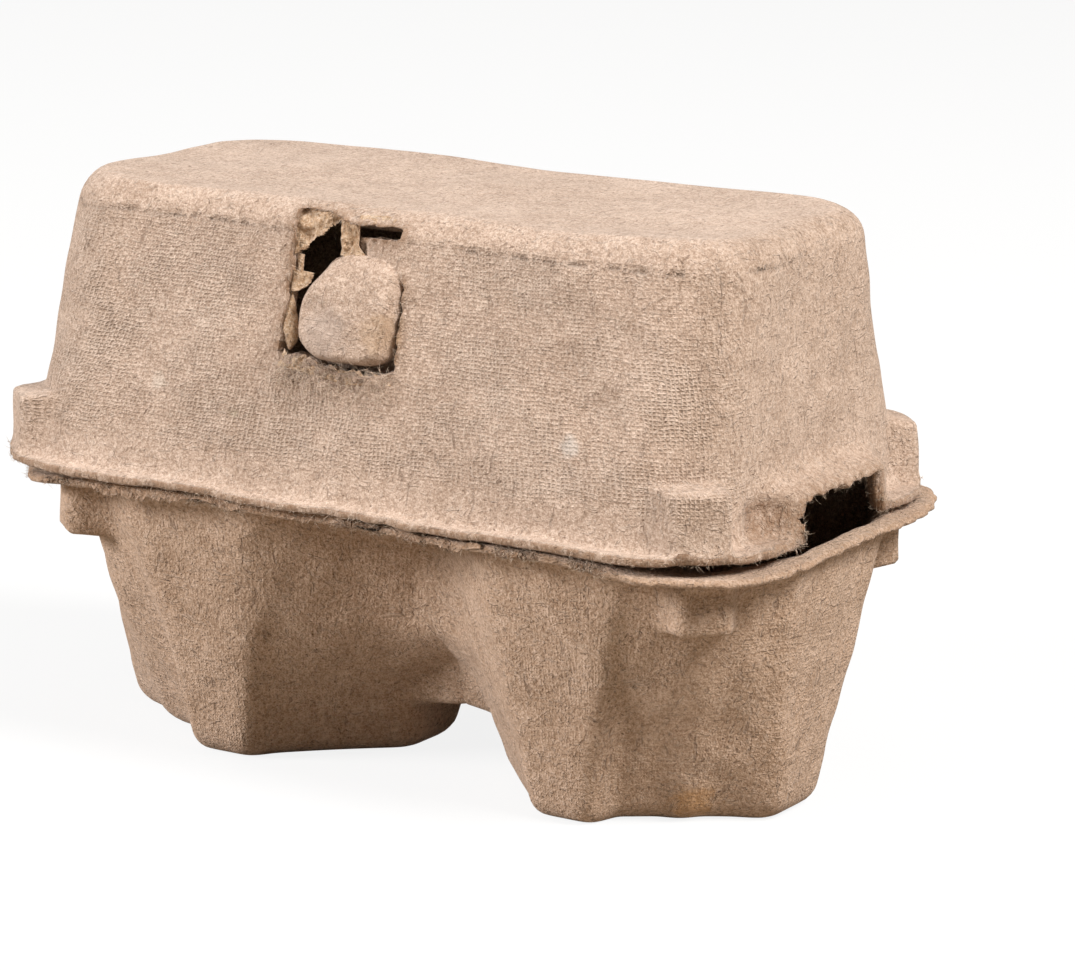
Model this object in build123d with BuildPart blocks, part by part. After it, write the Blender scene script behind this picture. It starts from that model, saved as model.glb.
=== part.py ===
from build123d import *
import math
import os

os.makedirs("parts", exist_ok=True)

# overall sizes in mm; X along the carton, Y from the latch side to the hinge, Z up from the feet
length = 100.0           # tip of the lid flange at one end to tip of the tray flange at the other
depth = 60.0             # front flange edge to the outside of the hinge fold
height = 65.0            # feet to crown
skew = 2.0               # the lid sits this far to the left of the tray
wall = 1.6               # pulp thickness of walls, floors and crown
flange = 1.2             # thickness of each pressed flange
gap = 0.3                # clear height between the two flanges
fold_reach = 3.0         # how far the hinge fold stands behind the flanges

flange_z = 31.0                              # underside of the tray flange
tray_top = flange_z + flange
lid_base = tray_top + gap                    # underside of the lid flange
lid_seat = lid_base + flange                 # upper side of the lid flange
half_x = (length - skew) / 2                 # half length of one flange
half_y = (depth - fold_reach) / 2            # half depth of one flange
cell_y = half_y - depth / 2                  # middle of the egg cells
tray_x = skew / 2
lid_x = -skew / 2
corner = 13.2                                # corner radius of the flanges, seen from above
fold_w = 76.0                                # length of the hinge strip
fold_in = 2.5                                # how far the strip runs in over the flange
lug_w = 7.0                                  # width of the nesting lugs at the four corners


def corner_places(cx):
    """Centres of the four flange corner arcs with the direction each one points."""
    return [(cx + sx * (half_x - corner), cell_y + sy * (half_y - corner), math.degrees(math.atan2(sy, sx)))
            for sx in (-1, 1) for sy in (-1, 1)]


def at_level(low, high, z):
    """A size that runs evenly from low at the feet to high under the flange."""
    return low + (high - low) * z / flange_z


# tray: two lobed cups, the bridge between them, flange and lugs
rim_x, rim_y = half_x - 2.4, half_y - 4.3    # outside of the cup walls under the flange
foot_x, foot_y = half_x - 7.0, half_y - 10.3  # and at the feet
merge_z = 13.0                               # the cups' inner sides meet at this height
keel_z, keel_w, keel_d = 6.0, 8.0, 5.0       # low bridge between the cups: underside, half width, half depth
sole = 0.9                                   # bevel round the feet

# the eight leaning walls of a cup's core, going round: direction each one faces in degrees,
# and its distance from the middle of the carton at the foot and at the rim
inner_foot, inner_lean = -6.3, 6.3 / merge_z


drawn_foot, drawn_rim = (42.0, 18.2), (46.6, 24.2)   # half sizes of the cups that the slanted walls are drawn on


def slanting(angle, foot, rim, meets, at_end=False):
    """A wall between two straight ones. It moves with the share of the half depth at which it meets the first or last
    of them, and with the cup's end where it stands there."""
    across = abs(math.sin(math.radians(angle)))
    along = math.cos(math.radians(angle)) if at_end else 0.0
    return (angle,
            foot + along * (foot_x - drawn_foot[0]) + across * meets[0] * (foot_y - drawn_foot[1]),
            rim + along * (rim_x - drawn_rim[0]) + across * meets[1] * (rim_y - drawn_rim[1]))


core_walls = [
    (180.0, inner_foot, inner_foot + inner_lean * flange_z),
    slanting(226.8, 0.2, 14.4, (0.34, 0.48)),
    (270.0, foot_y - 4.2, rim_y - 2.0),
    slanting(306.2, 27.6, 39.4, (0.28, 0.66), at_end=True),
    (0.0, foot_x - 2.2, rim_x - 1.9),
]
core_walls += [(-angle, foot, rim) for angle, foot, rim in (core_walls[3], core_walls[2], core_walls[1])]
lobe_foot, lobe_rim = (15.8, 27.3), (14.6, 32.6)   # front and back lobes, from x to x
end_foot, end_rim = 4.5, 12.0                      # half width of the end lobe
rib_foot = (foot_x - 10.2, foot_y - 10.5, 3.4)     # rounded corner rib: x, y and radius
rib_rim = (rim_x - 9.1, rim_y - 8.4, 5.4)


def core_outline(z, inset, side):
    """Corners of the cup's core at height z, where neighbouring walls cross."""
    lines = [(math.radians(angle), at_level(foot, rim, z) - inset) for angle, foot, rim in core_walls]
    out = []
    for (a, p), (b, q) in zip(lines, lines[1:] + lines[:1]):
        turn = math.sin(b - a)
        x = (p * math.sin(b) - q * math.sin(a)) / turn
        y = (q * math.cos(a) - p * math.cos(b)) / turn
        out.append((tray_x + side * x, cell_y + y))
    return out


def cup_sections(z, inset, side):
    """Sections of one cup at height z: core, front and back lobes in one, end lobe, a rib at each outer corner."""
    with BuildSketch(Plane.XY.offset(z)) as core:
        Polygon(*core_outline(z, inset, side), align=None)
    x0 = at_level(lobe_foot[0], lobe_rim[0], z) + inset
    x1 = at_level(lobe_foot[1], lobe_rim[1], z) - inset
    with BuildSketch(Plane.XY.offset(z)) as lobes:
        with Locations((tray_x + side * (x0 + x1) / 2, cell_y)):
            RectangleRounded(x1 - x0, 2 * (at_level(foot_y, rim_y, z) - inset), 3.0 - inset / 2)
    x0, x1 = 22.0, at_level(foot_x, rim_x, z) - inset
    with BuildSketch(Plane.XY.offset(z)) as end:
        with Locations((tray_x + side * (x0 + x1) / 2, cell_y)):
            RectangleRounded(x1 - x0, 2 * (at_level(end_foot, end_rim, z) - inset), 2.4 - inset / 2)
    ribs = []
    x, y, r = (at_level(a, b, z) for a, b in zip(rib_foot, rib_rim))
    for way in (-1, 1):
        with BuildSketch(Plane.XY.offset(z)) as rib:
            with Locations((tray_x + side * x, cell_y + way * y)):
                Circle(r - inset)
        ribs.append(rib.sketch)
    return [core.sketch, lobes.sketch, end.sketch] + ribs


def bridge_section(z, half_d):
    """Section of the keel that joins the cups under their meeting line."""
    with BuildSketch(Plane.XY.offset(z)) as keel:
        with Locations((tray_x, cell_y)):
            Rectangle(2 * keel_w, 2 * half_d)
    return keel.sketch


lug_reach = {"tray": corner - 4.6, "lid": corner - 0.8}    # outer faces, from the flange corner's centre
lug_tall = {"tray": 7.0, "lid": 8.0}                       # below or above the flange


def lug_sections(name, cx, z, inset):
    """Sections of the four nesting lugs at the corners, or of the hollows behind them."""
    reach = lug_reach[name] + 4.0 - inset
    with BuildSketch(Plane.XY.offset(z)) as four:
        for px, py, turn in corner_places(cx):
            with Locations(Location((px, py, 0), (0, 0, turn))):
                with Locations((reach / 2 - 4.0, 0)):
                    RectangleRounded(reach, lug_w - 2 * inset, 1.4 - inset / 2)
    return four.sketch


with BuildPart() as tray:
    for side in (1, -1):
        for stack in zip(cup_sections(0.0, 0.8 * sole, side), cup_sections(sole, 0.0, side),
                         cup_sections(tray_top, 0.0, side)):
            loft(sections=list(stack), ruled=True)
    loft(sections=[bridge_section(keel_z, keel_d), bridge_section(merge_z + 3.0, keel_d + 2.5)], ruled=True)
    with BuildSketch(Plane.XY.offset(flange_z)):
        with Locations((tray_x, cell_y)):
            RectangleRounded(2 * half_x, 2 * half_y, corner)
        with Locations((0, cell_y + half_y + (fold_reach - fold_in) / 2)):    # lower half of the hinge fold
            RectangleRounded(fold_w, fold_reach + fold_in, 1.0)
    extrude(amount=flange)
    extrude(to_extrude=lug_sections("tray", tray_x, tray_top - flange / 2, 0.0),
            amount=-lug_tall["tray"] - flange / 2)
    for side in (1, -1):
        for low, high in zip(cup_sections(wall, wall, side), cup_sections(tray_top + 1, wall, side)):
            loft(sections=[low, high], ruled=True, mode=Mode.SUBTRACT)
    loft(sections=[bridge_section(keel_z + wall, keel_d - wall), bridge_section(merge_z + 3.0, keel_d + 2.5 - wall)],
         ruled=True, mode=Mode.SUBTRACT)
    extrude(to_extrude=lug_sections("tray", tray_x, tray_top + 1, wall),
            amount=-lug_tall["tray"] - flange - 1 + wall, mode=Mode.SUBTRACT)

# lid: leaning walls, flat crown, vents and latch window
base_x, base_y, base_r = half_x - 3.9, half_y - 1.7, 10.0     # outside of the lid wall at its flange
crown_x, crown_y, crown_r = half_x - 5.9, half_y - 9.6, 9.0   # and at the crown before rounding
crown_round = 3.0
wall_foot = lid_seat - 0.6                                     # the wall outline above starts at this height
lean = (base_y - crown_y) / (height - wall_foot)              # how fast the front wall leans in


def lid_outline(z, inset):
    """Half length, half depth and corner radius of the lid wall at height z."""
    t = (z - wall_foot) / (height - wall_foot)
    return (base_x + (crown_x - base_x) * t - inset, base_y + (crown_y - base_y) * t - inset,
            base_r + (crown_r - base_r) * t - inset)


def front_face(z):
    """Y of the outside of the lid's front wall."""
    return cell_y - lid_outline(z, 0)[1]


window_x0, window_x1 = lid_x - 8.7, lid_x + 5.5               # latch window in the front wall
window_z0, window_z1 = height - 16.5, height - 1.9
vent_w, vent_z = 19.4, lid_seat + 3.3                          # vents at the foot of both end walls
lip = 1.4

with BuildPart() as lid:
    for z in (wall_foot, height):
        hx, hy, rounding = lid_outline(z, 0)
        with BuildSketch(Plane.XY.offset(z)):
            with Locations((lid_x, cell_y)):
                RectangleRounded(2 * hx, 2 * hy, rounding)
    loft(ruled=True)
    fillet(lid.edges().group_by(Axis.Z)[-1], crown_round)
    with BuildSketch(Plane.XY.offset(lid_base)):
        with Locations((lid_x, cell_y)):
            RectangleRounded(2 * half_x, 2 * half_y, corner)
        with Locations((0, cell_y + half_y + (fold_reach - fold_in) / 2)):    # upper half of the hinge fold
            RectangleRounded(fold_w, fold_reach + fold_in, 1.0)
    extrude(amount=flange)
    extrude(to_extrude=lug_sections("lid", lid_x, lid_base + flange / 2, 0.0), amount=lug_tall["lid"] + flange / 2)
    for end in (-1, 1):                                                # lips turned up round the vents
        with BuildSketch(Plane.YZ.offset(lid_x + end * (half_x - 0.6))):
            with Locations((cell_y, lid_base + flange / 2)):
                Rectangle(vent_w + 2 * lip, 2 * (vent_z + lip - lid_base - flange / 2))
            with Locations((cell_y, lid_base - 10)):
                Rectangle(vent_w + 9, 20, mode=Mode.SUBTRACT)
        extrude(amount=-end * 6.0)
        with BuildSketch(Plane.XZ.offset(-(cell_y + vent_w / 2 + 3 * lip))):   # the lip slopes back into the wall
            Polygon(*[(lid_x + end * x, z) for x, z in ((half_x + 1, lid_seat + 0.7), (half_x - 0.6, lid_seat + 0.7),
                                                        (base_x - 0.2, vent_z + lip + 1.4),
                                                        (base_x - 0.2, vent_z + lip + 3), (half_x + 1, vent_z + lip + 3))],
                    align=None)
        extrude(amount=vent_w + 6 * lip, mode=Mode.SUBTRACT)
    for z in (lid_base - 1, height - wall):
        hx, hy, rounding = lid_outline(z, wall)
        with BuildSketch(Plane.XY.offset(z)):
            with Locations((lid_x, cell_y)):
                RectangleRounded(2 * hx, 2 * hy, rounding)
    loft(ruled=True, mode=Mode.SUBTRACT)
    extrude(to_extrude=lug_sections("lid", lid_x, lid_base - 1, wall),
            amount=lug_tall["lid"] + flange + 1 - wall, mode=Mode.SUBTRACT)
    for end in (-1, 1):
        with BuildSketch(Plane.YZ.offset(lid_x + end * (half_x + 1))):
            with Locations((cell_y, lid_base - 1)):
                Rectangle(vent_w, 2 * (vent_z - lid_base + 1))
        extrude(amount=-end * 14.0, mode=Mode.SUBTRACT)
    with BuildSketch(Plane.XZ.offset(-(cell_y - half_y))):             # latch window
        with Locations(((window_x0 + window_x1) / 2, (window_z0 + window_z1) / 2)):
            Rectangle(window_x1 - window_x0, window_z1 - window_z0)
    extrude(amount=-(half_y - crown_y + wall + 2.5), mode=Mode.SUBTRACT)

# latch flap: a tongue from the tray's front rim, with the button that fills the window
flap_t = 1.4
flap_w = 14.0
flap_x = (window_x0 + window_x1) / 2 + 0.3
flap_top = height - 3.2
slack = 0.35                                                   # between the flap and the lid's inner face
knob_w, knob_h = window_x1 - window_x0 - 2.4, window_z1 - window_z0 - 3.1
knob_out = 1.7                                                 # the button stands this far out of the wall
knob_z = window_z0 + 0.5 + knob_h / 2
knob_x = window_x1 - 0.4 - knob_w / 2
tilt = math.atan(lean)
bed = wall + slack + flap_t                                    # from the wall's outside to the flap's back


def flap_line(z, back):
    return front_face(z) + wall + slack + back


knob_plane = Plane(origin=(knob_x, front_face(knob_z), knob_z), x_dir=(1, 0, 0),
                   z_dir=(0, -math.cos(tilt), math.sin(tilt)))

with BuildPart() as latch_flap:
    with BuildSketch(Plane.YZ.offset(flap_x - flap_w / 2)):
        Polygon((flap_line(lid_base, 0), lid_base), (flap_line(lid_base, flap_t), lid_base),
                (flap_line(flap_top, flap_t), flap_top), (flap_line(flap_top, 0), flap_top), align=None)
    extrude(amount=flap_w)
    with BuildSketch(knob_plane.offset(-bed + 0.3)):
        RectangleRounded(knob_w, knob_h, 3.2)
    extrude(amount=bed - 0.3 + knob_out)
    front_loop = [e for e in latch_flap.edges() if abs(knob_plane.to_local_coords(e.center()).Z - knob_out) < 0.05]
    fillet(front_loop, 1.4)
    with BuildSketch(knob_plane.offset(-bed - 1)):
        RectangleRounded(knob_w - 2 * flap_t, knob_h - 2 * flap_t, 1.8)
    extrude(amount=bed + 1 + knob_out - flap_t, mode=Mode.SUBTRACT)

tray.part.label = "tray"
lid.part.label = "lid"
latch_flap.part.label = "latch_flap"
export_step(tray.part, "parts/tray.step")
export_step(lid.part, "parts/lid.step")
export_step(latch_flap.part, "parts/latch_flap.step")
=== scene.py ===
import math

import bmesh
import bpy
import numpy as np
from mathutils import Matrix, Vector


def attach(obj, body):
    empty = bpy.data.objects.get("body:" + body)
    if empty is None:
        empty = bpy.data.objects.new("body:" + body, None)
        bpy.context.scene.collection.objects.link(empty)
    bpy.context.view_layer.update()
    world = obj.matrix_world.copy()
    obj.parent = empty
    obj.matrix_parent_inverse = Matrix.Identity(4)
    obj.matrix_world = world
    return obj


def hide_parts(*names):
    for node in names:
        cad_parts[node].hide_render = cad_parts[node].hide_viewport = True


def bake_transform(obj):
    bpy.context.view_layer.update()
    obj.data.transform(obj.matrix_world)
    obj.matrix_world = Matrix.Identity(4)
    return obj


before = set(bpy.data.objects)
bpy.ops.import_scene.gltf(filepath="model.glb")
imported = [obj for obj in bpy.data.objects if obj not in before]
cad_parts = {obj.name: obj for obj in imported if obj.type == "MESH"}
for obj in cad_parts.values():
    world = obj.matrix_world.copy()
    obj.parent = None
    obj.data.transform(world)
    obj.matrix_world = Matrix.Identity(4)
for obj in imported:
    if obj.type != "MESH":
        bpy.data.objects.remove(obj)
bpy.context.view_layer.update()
print("frame loaded")

# sizes are millimetres in the carton's frame: X along it, Y from latch to hinge, Z up from the feet
carton = dict(trayX=1.0, lidX=-1.0, cellY=-1.5, halfX=49.0, halfY=28.5, corner=13.2, wall=1.6,
              flangeZ=31.0, trayTop=32.2, lidBase=32.5, lidSeat=33.7, height=65.0, foldHalf=38.0)
# middle of the circle at each corner of the flanges, from which the nesting lugs run out
cornerX, cornerY = carton["halfX"] - carton["corner"], carton["halfY"] - carton["corner"]


# shared surface maths
def waves(p, size, seed, count=18):
    # sum of sine waves in random directions, wave length near size, scaled to about -1..1
    rng = np.random.default_rng(seed)
    way = rng.normal(size=(count, 3))
    way *= (2 * np.pi / size * rng.uniform(0.7, 1.5, (count, 1))) / np.linalg.norm(way, axis=1, keepdims=True)
    return np.sin(p @ way.T + rng.uniform(0, 2 * np.pi, count)).sum(-1) * math.sqrt(2.0 / count) * 0.6


def blur(a, sigma, axis, wrap):
    # mean along one axis with weights exp(-n^2 / 2 sigma^2), sigma in cells; the ends repeat, or wrap round
    n = int(3 * sigma + 1)
    w = np.exp(-0.5 * (np.arange(-n, n + 1) / sigma) ** 2)
    w /= w.sum()
    a = np.moveaxis(a, axis, 0)
    pad = np.concatenate([a[-n:], a, a[:n]] if wrap else [np.repeat(a[:1], n, 0), a, np.repeat(a[-1:], n, 0)])
    return np.moveaxis(sum(w[i] * pad[i:i + len(a)] for i in range(2 * n + 1)), 0, axis)


def step(x, low, high):
    # 0 below low, 1 above high, 3t^2 - 2t^3 between
    t = np.clip((x - low) / (high - low), 0, 1)
    return t * t * (3 - 2 * t)


def bands(*spans):
    # heights from a to b in steps of d, for each a, b, d in turn
    return np.concatenate([np.arange(a, b, d) for a, b, d in spans])


def runLength(p):
    # distance run along a line of points, 0 at the first
    return np.concatenate([[0], np.cumsum(np.linalg.norm(np.diff(p, axis=0), axis=-1))])


def atHeights(table, start, pitch, z):
    # rows of a table kept at even heights, read at heights z with straight lines between
    f = np.clip((z - start) / pitch, 0, len(table) - 1.001)
    i = f.astype(int)
    t = (f - i)[:, None]
    return table[i] * (1 - t) + table[i + 1] * t


def wallReach(c, s, walls):
    # ray from inside a convex outline: 1 / max over walls of cos(angle between ray and wall) / distance
    return 1 / np.maximum.reduce([(c * np.cos(a) + s * np.sin(a)) / d for a, d in walls] + [1e-6 + 0 * c])


def rectReach(c, s, a, b, r):
    # ray from the middle of a rectangle a x b (half sides) to its straight side, or to its corner circle
    ac, bs = np.abs(c), np.abs(s)
    t = np.minimum(a / np.maximum(ac, 1e-9), b / np.maximum(bs, 1e-9))
    mx, my = a - r, b - r
    m = mx * ac + my * bs
    corner = m + np.sqrt(np.maximum(m * m - (mx * mx + my * my - r * r), 0))
    return np.where((t * ac > mx) & (t * bs > my), corner, t)


def circleReach(c, s, x, y, r):
    # far crossing of a ray with a circle, 0 where it misses
    m = x * c + y * s
    inside = r * r - (x * x + y * y - m * m)
    return np.where((inside > 0) & (m > 0), m + np.sqrt(np.maximum(inside, 0)), 0)


def blockReach(c, s, x, y, angle, half, reach):
    # far crossing of a ray with a bar from x, y along angle that ends at reach, 0 where it misses
    ca, sa = math.cos(angle), math.sin(angle)
    planes = [(-sa, ca, -sa * x + ca * y + half), (sa, -ca, sa * x - ca * y + half),
              (ca, sa, ca * x + sa * y + reach), (-ca, -sa, -ca * x - sa * y + 2)]
    far, near = 1e3 + 0 * c, 0 * c
    for nx, ny, h in planes:
        d = nx * c + ny * s
        with np.errstate(divide="ignore", invalid="ignore"):
            t = h / d
        far = np.where(d > 1e-9, np.minimum(far, t), far)
        near = np.where(d < -1e-9, np.maximum(near, t), near)
    return np.where(far > near, far, 0)


def cells(rows, cols, wrap):
    # four corner numbers of each cell of a grid, row by row
    r = np.arange(rows - 1)[:, None]
    c = np.arange(cols if wrap else cols - 1)[None]
    n = (c + 1) % cols
    return np.stack([r * cols + c, r * cols + n, (r + 1) * cols + n, (r + 1) * cols + c], -1)


def cellUv(u, v, wrap):
    # u along the columns, v down the rows, at each cell's corners; a grid that wraps has one u more
    cols = len(u) - 1
    c = np.arange(cols)[None]
    r = np.arange(len(v) - 1)[:, None]
    z = 0 * (c + r)
    return np.stack([np.stack([u[c] + z, v[r] + z], -1), np.stack([u[c + 1] + z, v[r] + z], -1),
                     np.stack([u[c + 1] + z, v[r + 1] + z], -1), np.stack([u[c] + z, v[r + 1] + z], -1)], 2)


def piece(name, points, faces, uv, material, masks=None, weld=0.004):
    # mesh from whole arrays, in metres; masks are per-point numbers that the materials read
    mesh = bpy.data.meshes.new(name)
    n, k = faces.shape
    mesh.vertices.add(len(points))
    mesh.vertices.foreach_set("co", (points * 0.001).astype(np.float32).ravel())
    mesh.loops.add(n * k)
    mesh.loops.foreach_set("vertex_index", faces.astype(np.int32).ravel())
    mesh.polygons.add(n)
    mesh.polygons.foreach_set("loop_start", np.arange(0, n * k, k, dtype=np.int32))
    mesh.polygons.foreach_set("use_smooth", np.ones(n, bool))
    mesh.uv_layers.new(name="UVMap").data.foreach_set("uv", (uv * 0.001).astype(np.float32).ravel())
    for key, values in (masks or {}).items():
        layer = mesh.attributes.new(key, "FLOAT", "POINT")
        layer.data.foreach_set("value", values.astype(np.float32).ravel())
    mesh.update(calc_edges=True)
    bm = bmesh.new()
    bm.from_mesh(mesh)
    bmesh.ops.remove_doubles(bm, verts=bm.verts, dist=weld * 0.001)
    bmesh.ops.dissolve_degenerate(bm, edges=bm.edges, dist=1e-7)
    loose = [v for v in bm.verts if not v.link_faces]
    bmesh.ops.delete(bm, geom=loose, context="VERTS")
    bm.to_mesh(mesh)
    bm.free()
    mesh.materials.append(material)
    obj = bpy.data.objects.new(name, mesh)
    bpy.context.scene.collection.objects.link(obj)
    return obj


# shader groups
def group(name, inputs, outputs):
    g = bpy.data.node_groups.new(name, "ShaderNodeTree")
    for label, kind, value in inputs:
        socket = g.interface.new_socket(label, in_out="INPUT", socket_type=kind)
        if value is not None:
            socket.default_value = value
    for label, kind in outputs:
        g.interface.new_socket(label, in_out="OUTPUT", socket_type=kind)
    return g, g.nodes.new("NodeGroupInput"), g.nodes.new("NodeGroupOutput")


def add(tree, kind, inputs=None, **settings):
    # one node with its settings, and its sockets given values or links
    node = tree.nodes.new(kind)
    for key, value in settings.items():
        setattr(node, key, value)
    for key, value in (inputs or {}).items():
        socket = node.inputs[key]
        if isinstance(value, bpy.types.NodeSocket):
            tree.links.new(value, socket)
        else:
            socket.default_value = value
    return node


def calc(tree, operation, a, b=None, c=None, clamp=False):
    values = {i: v for i, v in enumerate((a, b, c)) if v is not None}
    return add(tree, "ShaderNodeMath", values, operation=operation, use_clamp=clamp).outputs[0]


def calcVector(tree, operation, a, b):
    return add(tree, "ShaderNodeVectorMath", {0: a, 1: b}, operation=operation).outputs[0]


def weighted(tree, *terms):
    # sum of values, each times its weight
    total = None
    for value, weight in reversed(terms):
        share = calc(tree, "MULTIPLY", value, weight)
        total = share if total is None else calc(tree, "ADD", share, total)
    return total


def ramp(tree, value, low, high):
    # 0 at low, 1 at high, smooth between
    return add(tree, "ShaderNodeMapRange", {"Value": value, "From Min": low, "From Max": high},
               interpolation_type="SMOOTHSTEP").outputs["Result"]


def mixColour(tree, factor, a, b):
    return add(tree, "ShaderNodeMix", {0: factor, 6: a, 7: b}, data_type="RGBA").outputs[2]


def attribute(tree, name):
    return add(tree, "ShaderNodeAttribute", attribute_name=name).outputs["Fac"]


def stretched(tree, vector, turn, scale):
    return add(tree, "ShaderNodeMapping", {"Vector": vector, "Rotation": turn, "Scale": scale}).outputs[0]


def noise(tree, vector, scale, detail=2.0, rough=0.5):
    return add(tree, "ShaderNodeTexNoise", {"Vector": vector, "Scale": scale, "Detail": detail,
                                            "Roughness": rough}).outputs["Fac"]


def noiseVector(tree, vector, scale, detail):
    node = add(tree, "ShaderNodeTexNoise", {"Vector": vector, "Scale": scale, "Detail": detail})
    return node.outputs["Color"]


# layers of the tone: noise scale, detail, roughness, share; threads and flecks: turn and stretch of noise
fibre = dict(
    cloud=(110, 4, 0.55, 0.5), patch=(420, 3, 0.6, 0.6), grain=(2300, 3, 0.65, 1.7), fine=(5200, 2, 0.6, 1.6),
    bendScale=260.0, bend=0.0032, threadScale=260, paleRange=(0.60, 0.72), darkRange=(0.62, 0.70),
    gapRange=(0.64, 0.72), darkShare=0.45,
    threads=(((0.3, 0.5, 0.2), (1, 7, 7)), ((1.2, 0.4, 1.3), (7, 1, 7)), ((0.8, 1.1, 2.2), (7, 7, 1))),
    fleckScale=430.0, fleckPick=(0.76, 0.80), fleckSize=(0.09, 0.17),
    flecks=(((0.4, 0.9, 0.1), (1.0, 3.6, 3.6), 0.0), ((1.0, 0.2, 1.7), (3.4, 1.0, 3.4), 0.07)))
# pitches in millimetres; how steep the threads' print is, and the range of its strength from patch to patch
screenForm = dict(across=0.52, up=0.42, bendScale=420.0, bend=0.0009, steep=1.6, patchScale=130, weak=0.35)


def makeFibreGroup():
    # matted wood fibres: cloudy tone, short pale and dark threads in three directions, specks and relief
    g, inp, out = group("MattedFibres", [("Vector", "NodeSocketVector", None)],
                        [(label, "NodeSocketFloat") for label in ("Tone", "Pale", "Dark", "Relief")])
    p = inp.outputs["Vector"]
    layers = {key: noise(g, p, *fibre[key][:3]) for key in ("cloud", "patch", "grain", "fine")}
    tone = weighted(g, *((calc(g, "SUBTRACT", layer, 0.5), fibre[key][3]) for key, layer in layers.items()))
    bend = calcVector(g, "SUBTRACT", noiseVector(g, p, fibre["bendScale"], 1.0), (0.5, 0.5, 0.5))
    bent = calcVector(g, "ADD", p, calcVector(g, "MULTIPLY", bend, (fibre["bend"],) * 3))
    threads = [noise(g, stretched(g, bent, turn, scale), fibre["threadScale"], 2, 0.6)
               for turn, scale in fibre["threads"]]
    pale = calc(g, "MAXIMUM", *(ramp(g, thread, *fibre["paleRange"]) for thread in threads[:2]))
    gaps = calc(g, "SUBTRACT", 1.0, threads[1])
    dark = calc(g, "MAXIMUM", ramp(g, threads[2], *fibre["darkRange"]), ramp(g, gaps, *fibre["gapRange"]))
    flecks = []
    for turn, scale, offset in fibre["flecks"]:
        moved = calcVector(g, "ADD", bent, (offset,) * 3)
        spread = {"Vector": stretched(g, moved, turn, scale), "Scale": fibre["fleckScale"], "Randomness": 1.0}
        v = add(g, "ShaderNodeTexVoronoi", spread, feature="F1").outputs
        chance = add(g, "ShaderNodeSeparateColor", {"Color": v["Color"]}).outputs[0]
        near = calc(g, "SUBTRACT", 1.0, ramp(g, v["Distance"], *fibre["fleckSize"]))
        flecks.append(calc(g, "MULTIPLY", ramp(g, chance, *fibre["fleckPick"]), near))
    fleck = calc(g, "MAXIMUM", flecks[0], flecks[1])
    relief = weighted(g, (layers["grain"], 0.8), (layers["patch"], 0.9), (pale, 0.35), (dark, -0.25))
    g.links.new(tone, out.inputs["Tone"])
    g.links.new(pale, out.inputs["Pale"])
    g.links.new(calc(g, "MAXIMUM", fleck, calc(g, "MULTIPLY", dark, fibre["darkShare"])), out.inputs["Dark"])
    g.links.new(relief, out.inputs["Relief"])
    return g


def makeScreenGroup():
    # print of the forming screen: the higher of two rows of sine waves, bent by noise, across the sheet's
    # own length and height in millimetres, stronger and weaker by patches
    inputs = [("UV", "NodeSocketVector", None), ("Object", "NodeSocketVector", None),
              ("Across", "NodeSocketFloat", screenForm["across"]),
              ("Up", "NodeSocketFloat", screenForm["up"])]
    g, inp, out = group("ScreenPrint", inputs, [("Height", "NodeSocketFloat")])
    bend = noiseVector(g, inp.outputs["Object"], screenForm["bendScale"], 2.0)
    bend = calcVector(g, "MULTIPLY", bend, (screenForm["bend"],) * 3)
    xyz = add(g, "ShaderNodeSeparateXYZ", {0: calcVector(g, "ADD", inp.outputs["UV"], bend)})
    rows = []
    for axis, pitch in (("X", "Across"), ("Y", "Up")):
        phase = calc(g, "DIVIDE", calc(g, "MULTIPLY", xyz.outputs[axis], 2000 * math.pi), inp.outputs[pitch])
        wave = calc(g, "MULTIPLY_ADD", calc(g, "SINE", phase), 0.5, 0.5)
        rows.append(calc(g, "POWER", wave, screenForm["steep"]))
    patches = ramp(g, noise(g, inp.outputs["Object"], screenForm["patchScale"], 3, 0.6), 0.34, 0.66)
    fade = calc(g, "MULTIPLY_ADD", patches, 1 - screenForm["weak"], screenForm["weak"])
    g.links.new(calc(g, "MULTIPLY", calc(g, "MAXIMUM", rows[0], rows[1]), fade), out.inputs["Height"])
    return g


fibreGroup = makeFibreGroup()
screenGroup = makeScreenGroup()


def addSpot(tree, colour, at, spot):
    # one spot of colour, for the stains and for the painted light and shade on the button: full inside 0.4 of
    # its size, gone at its size, its border moved by noise
    x, y, z, size, tint, much = spot
    away = add(tree, "ShaderNodeVectorMath", {0: at, 1: (x * 0.001, y * 0.001, z * 0.001)},
               operation="DISTANCE").outputs["Value"]
    wobble = calc(tree, "MULTIPLY_ADD", noise(tree, at, 700, 3, 0.6), size * 0.0012, -size * 0.0006)
    outside = ramp(tree, calc(tree, "ADD", away, wobble), size * 0.0004, size * 0.001)
    share = calc(tree, "MULTIPLY", calc(tree, "SUBTRACT", 1.0, outside), much)
    return mixColour(tree, share, colour, (*tint, 1))


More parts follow.
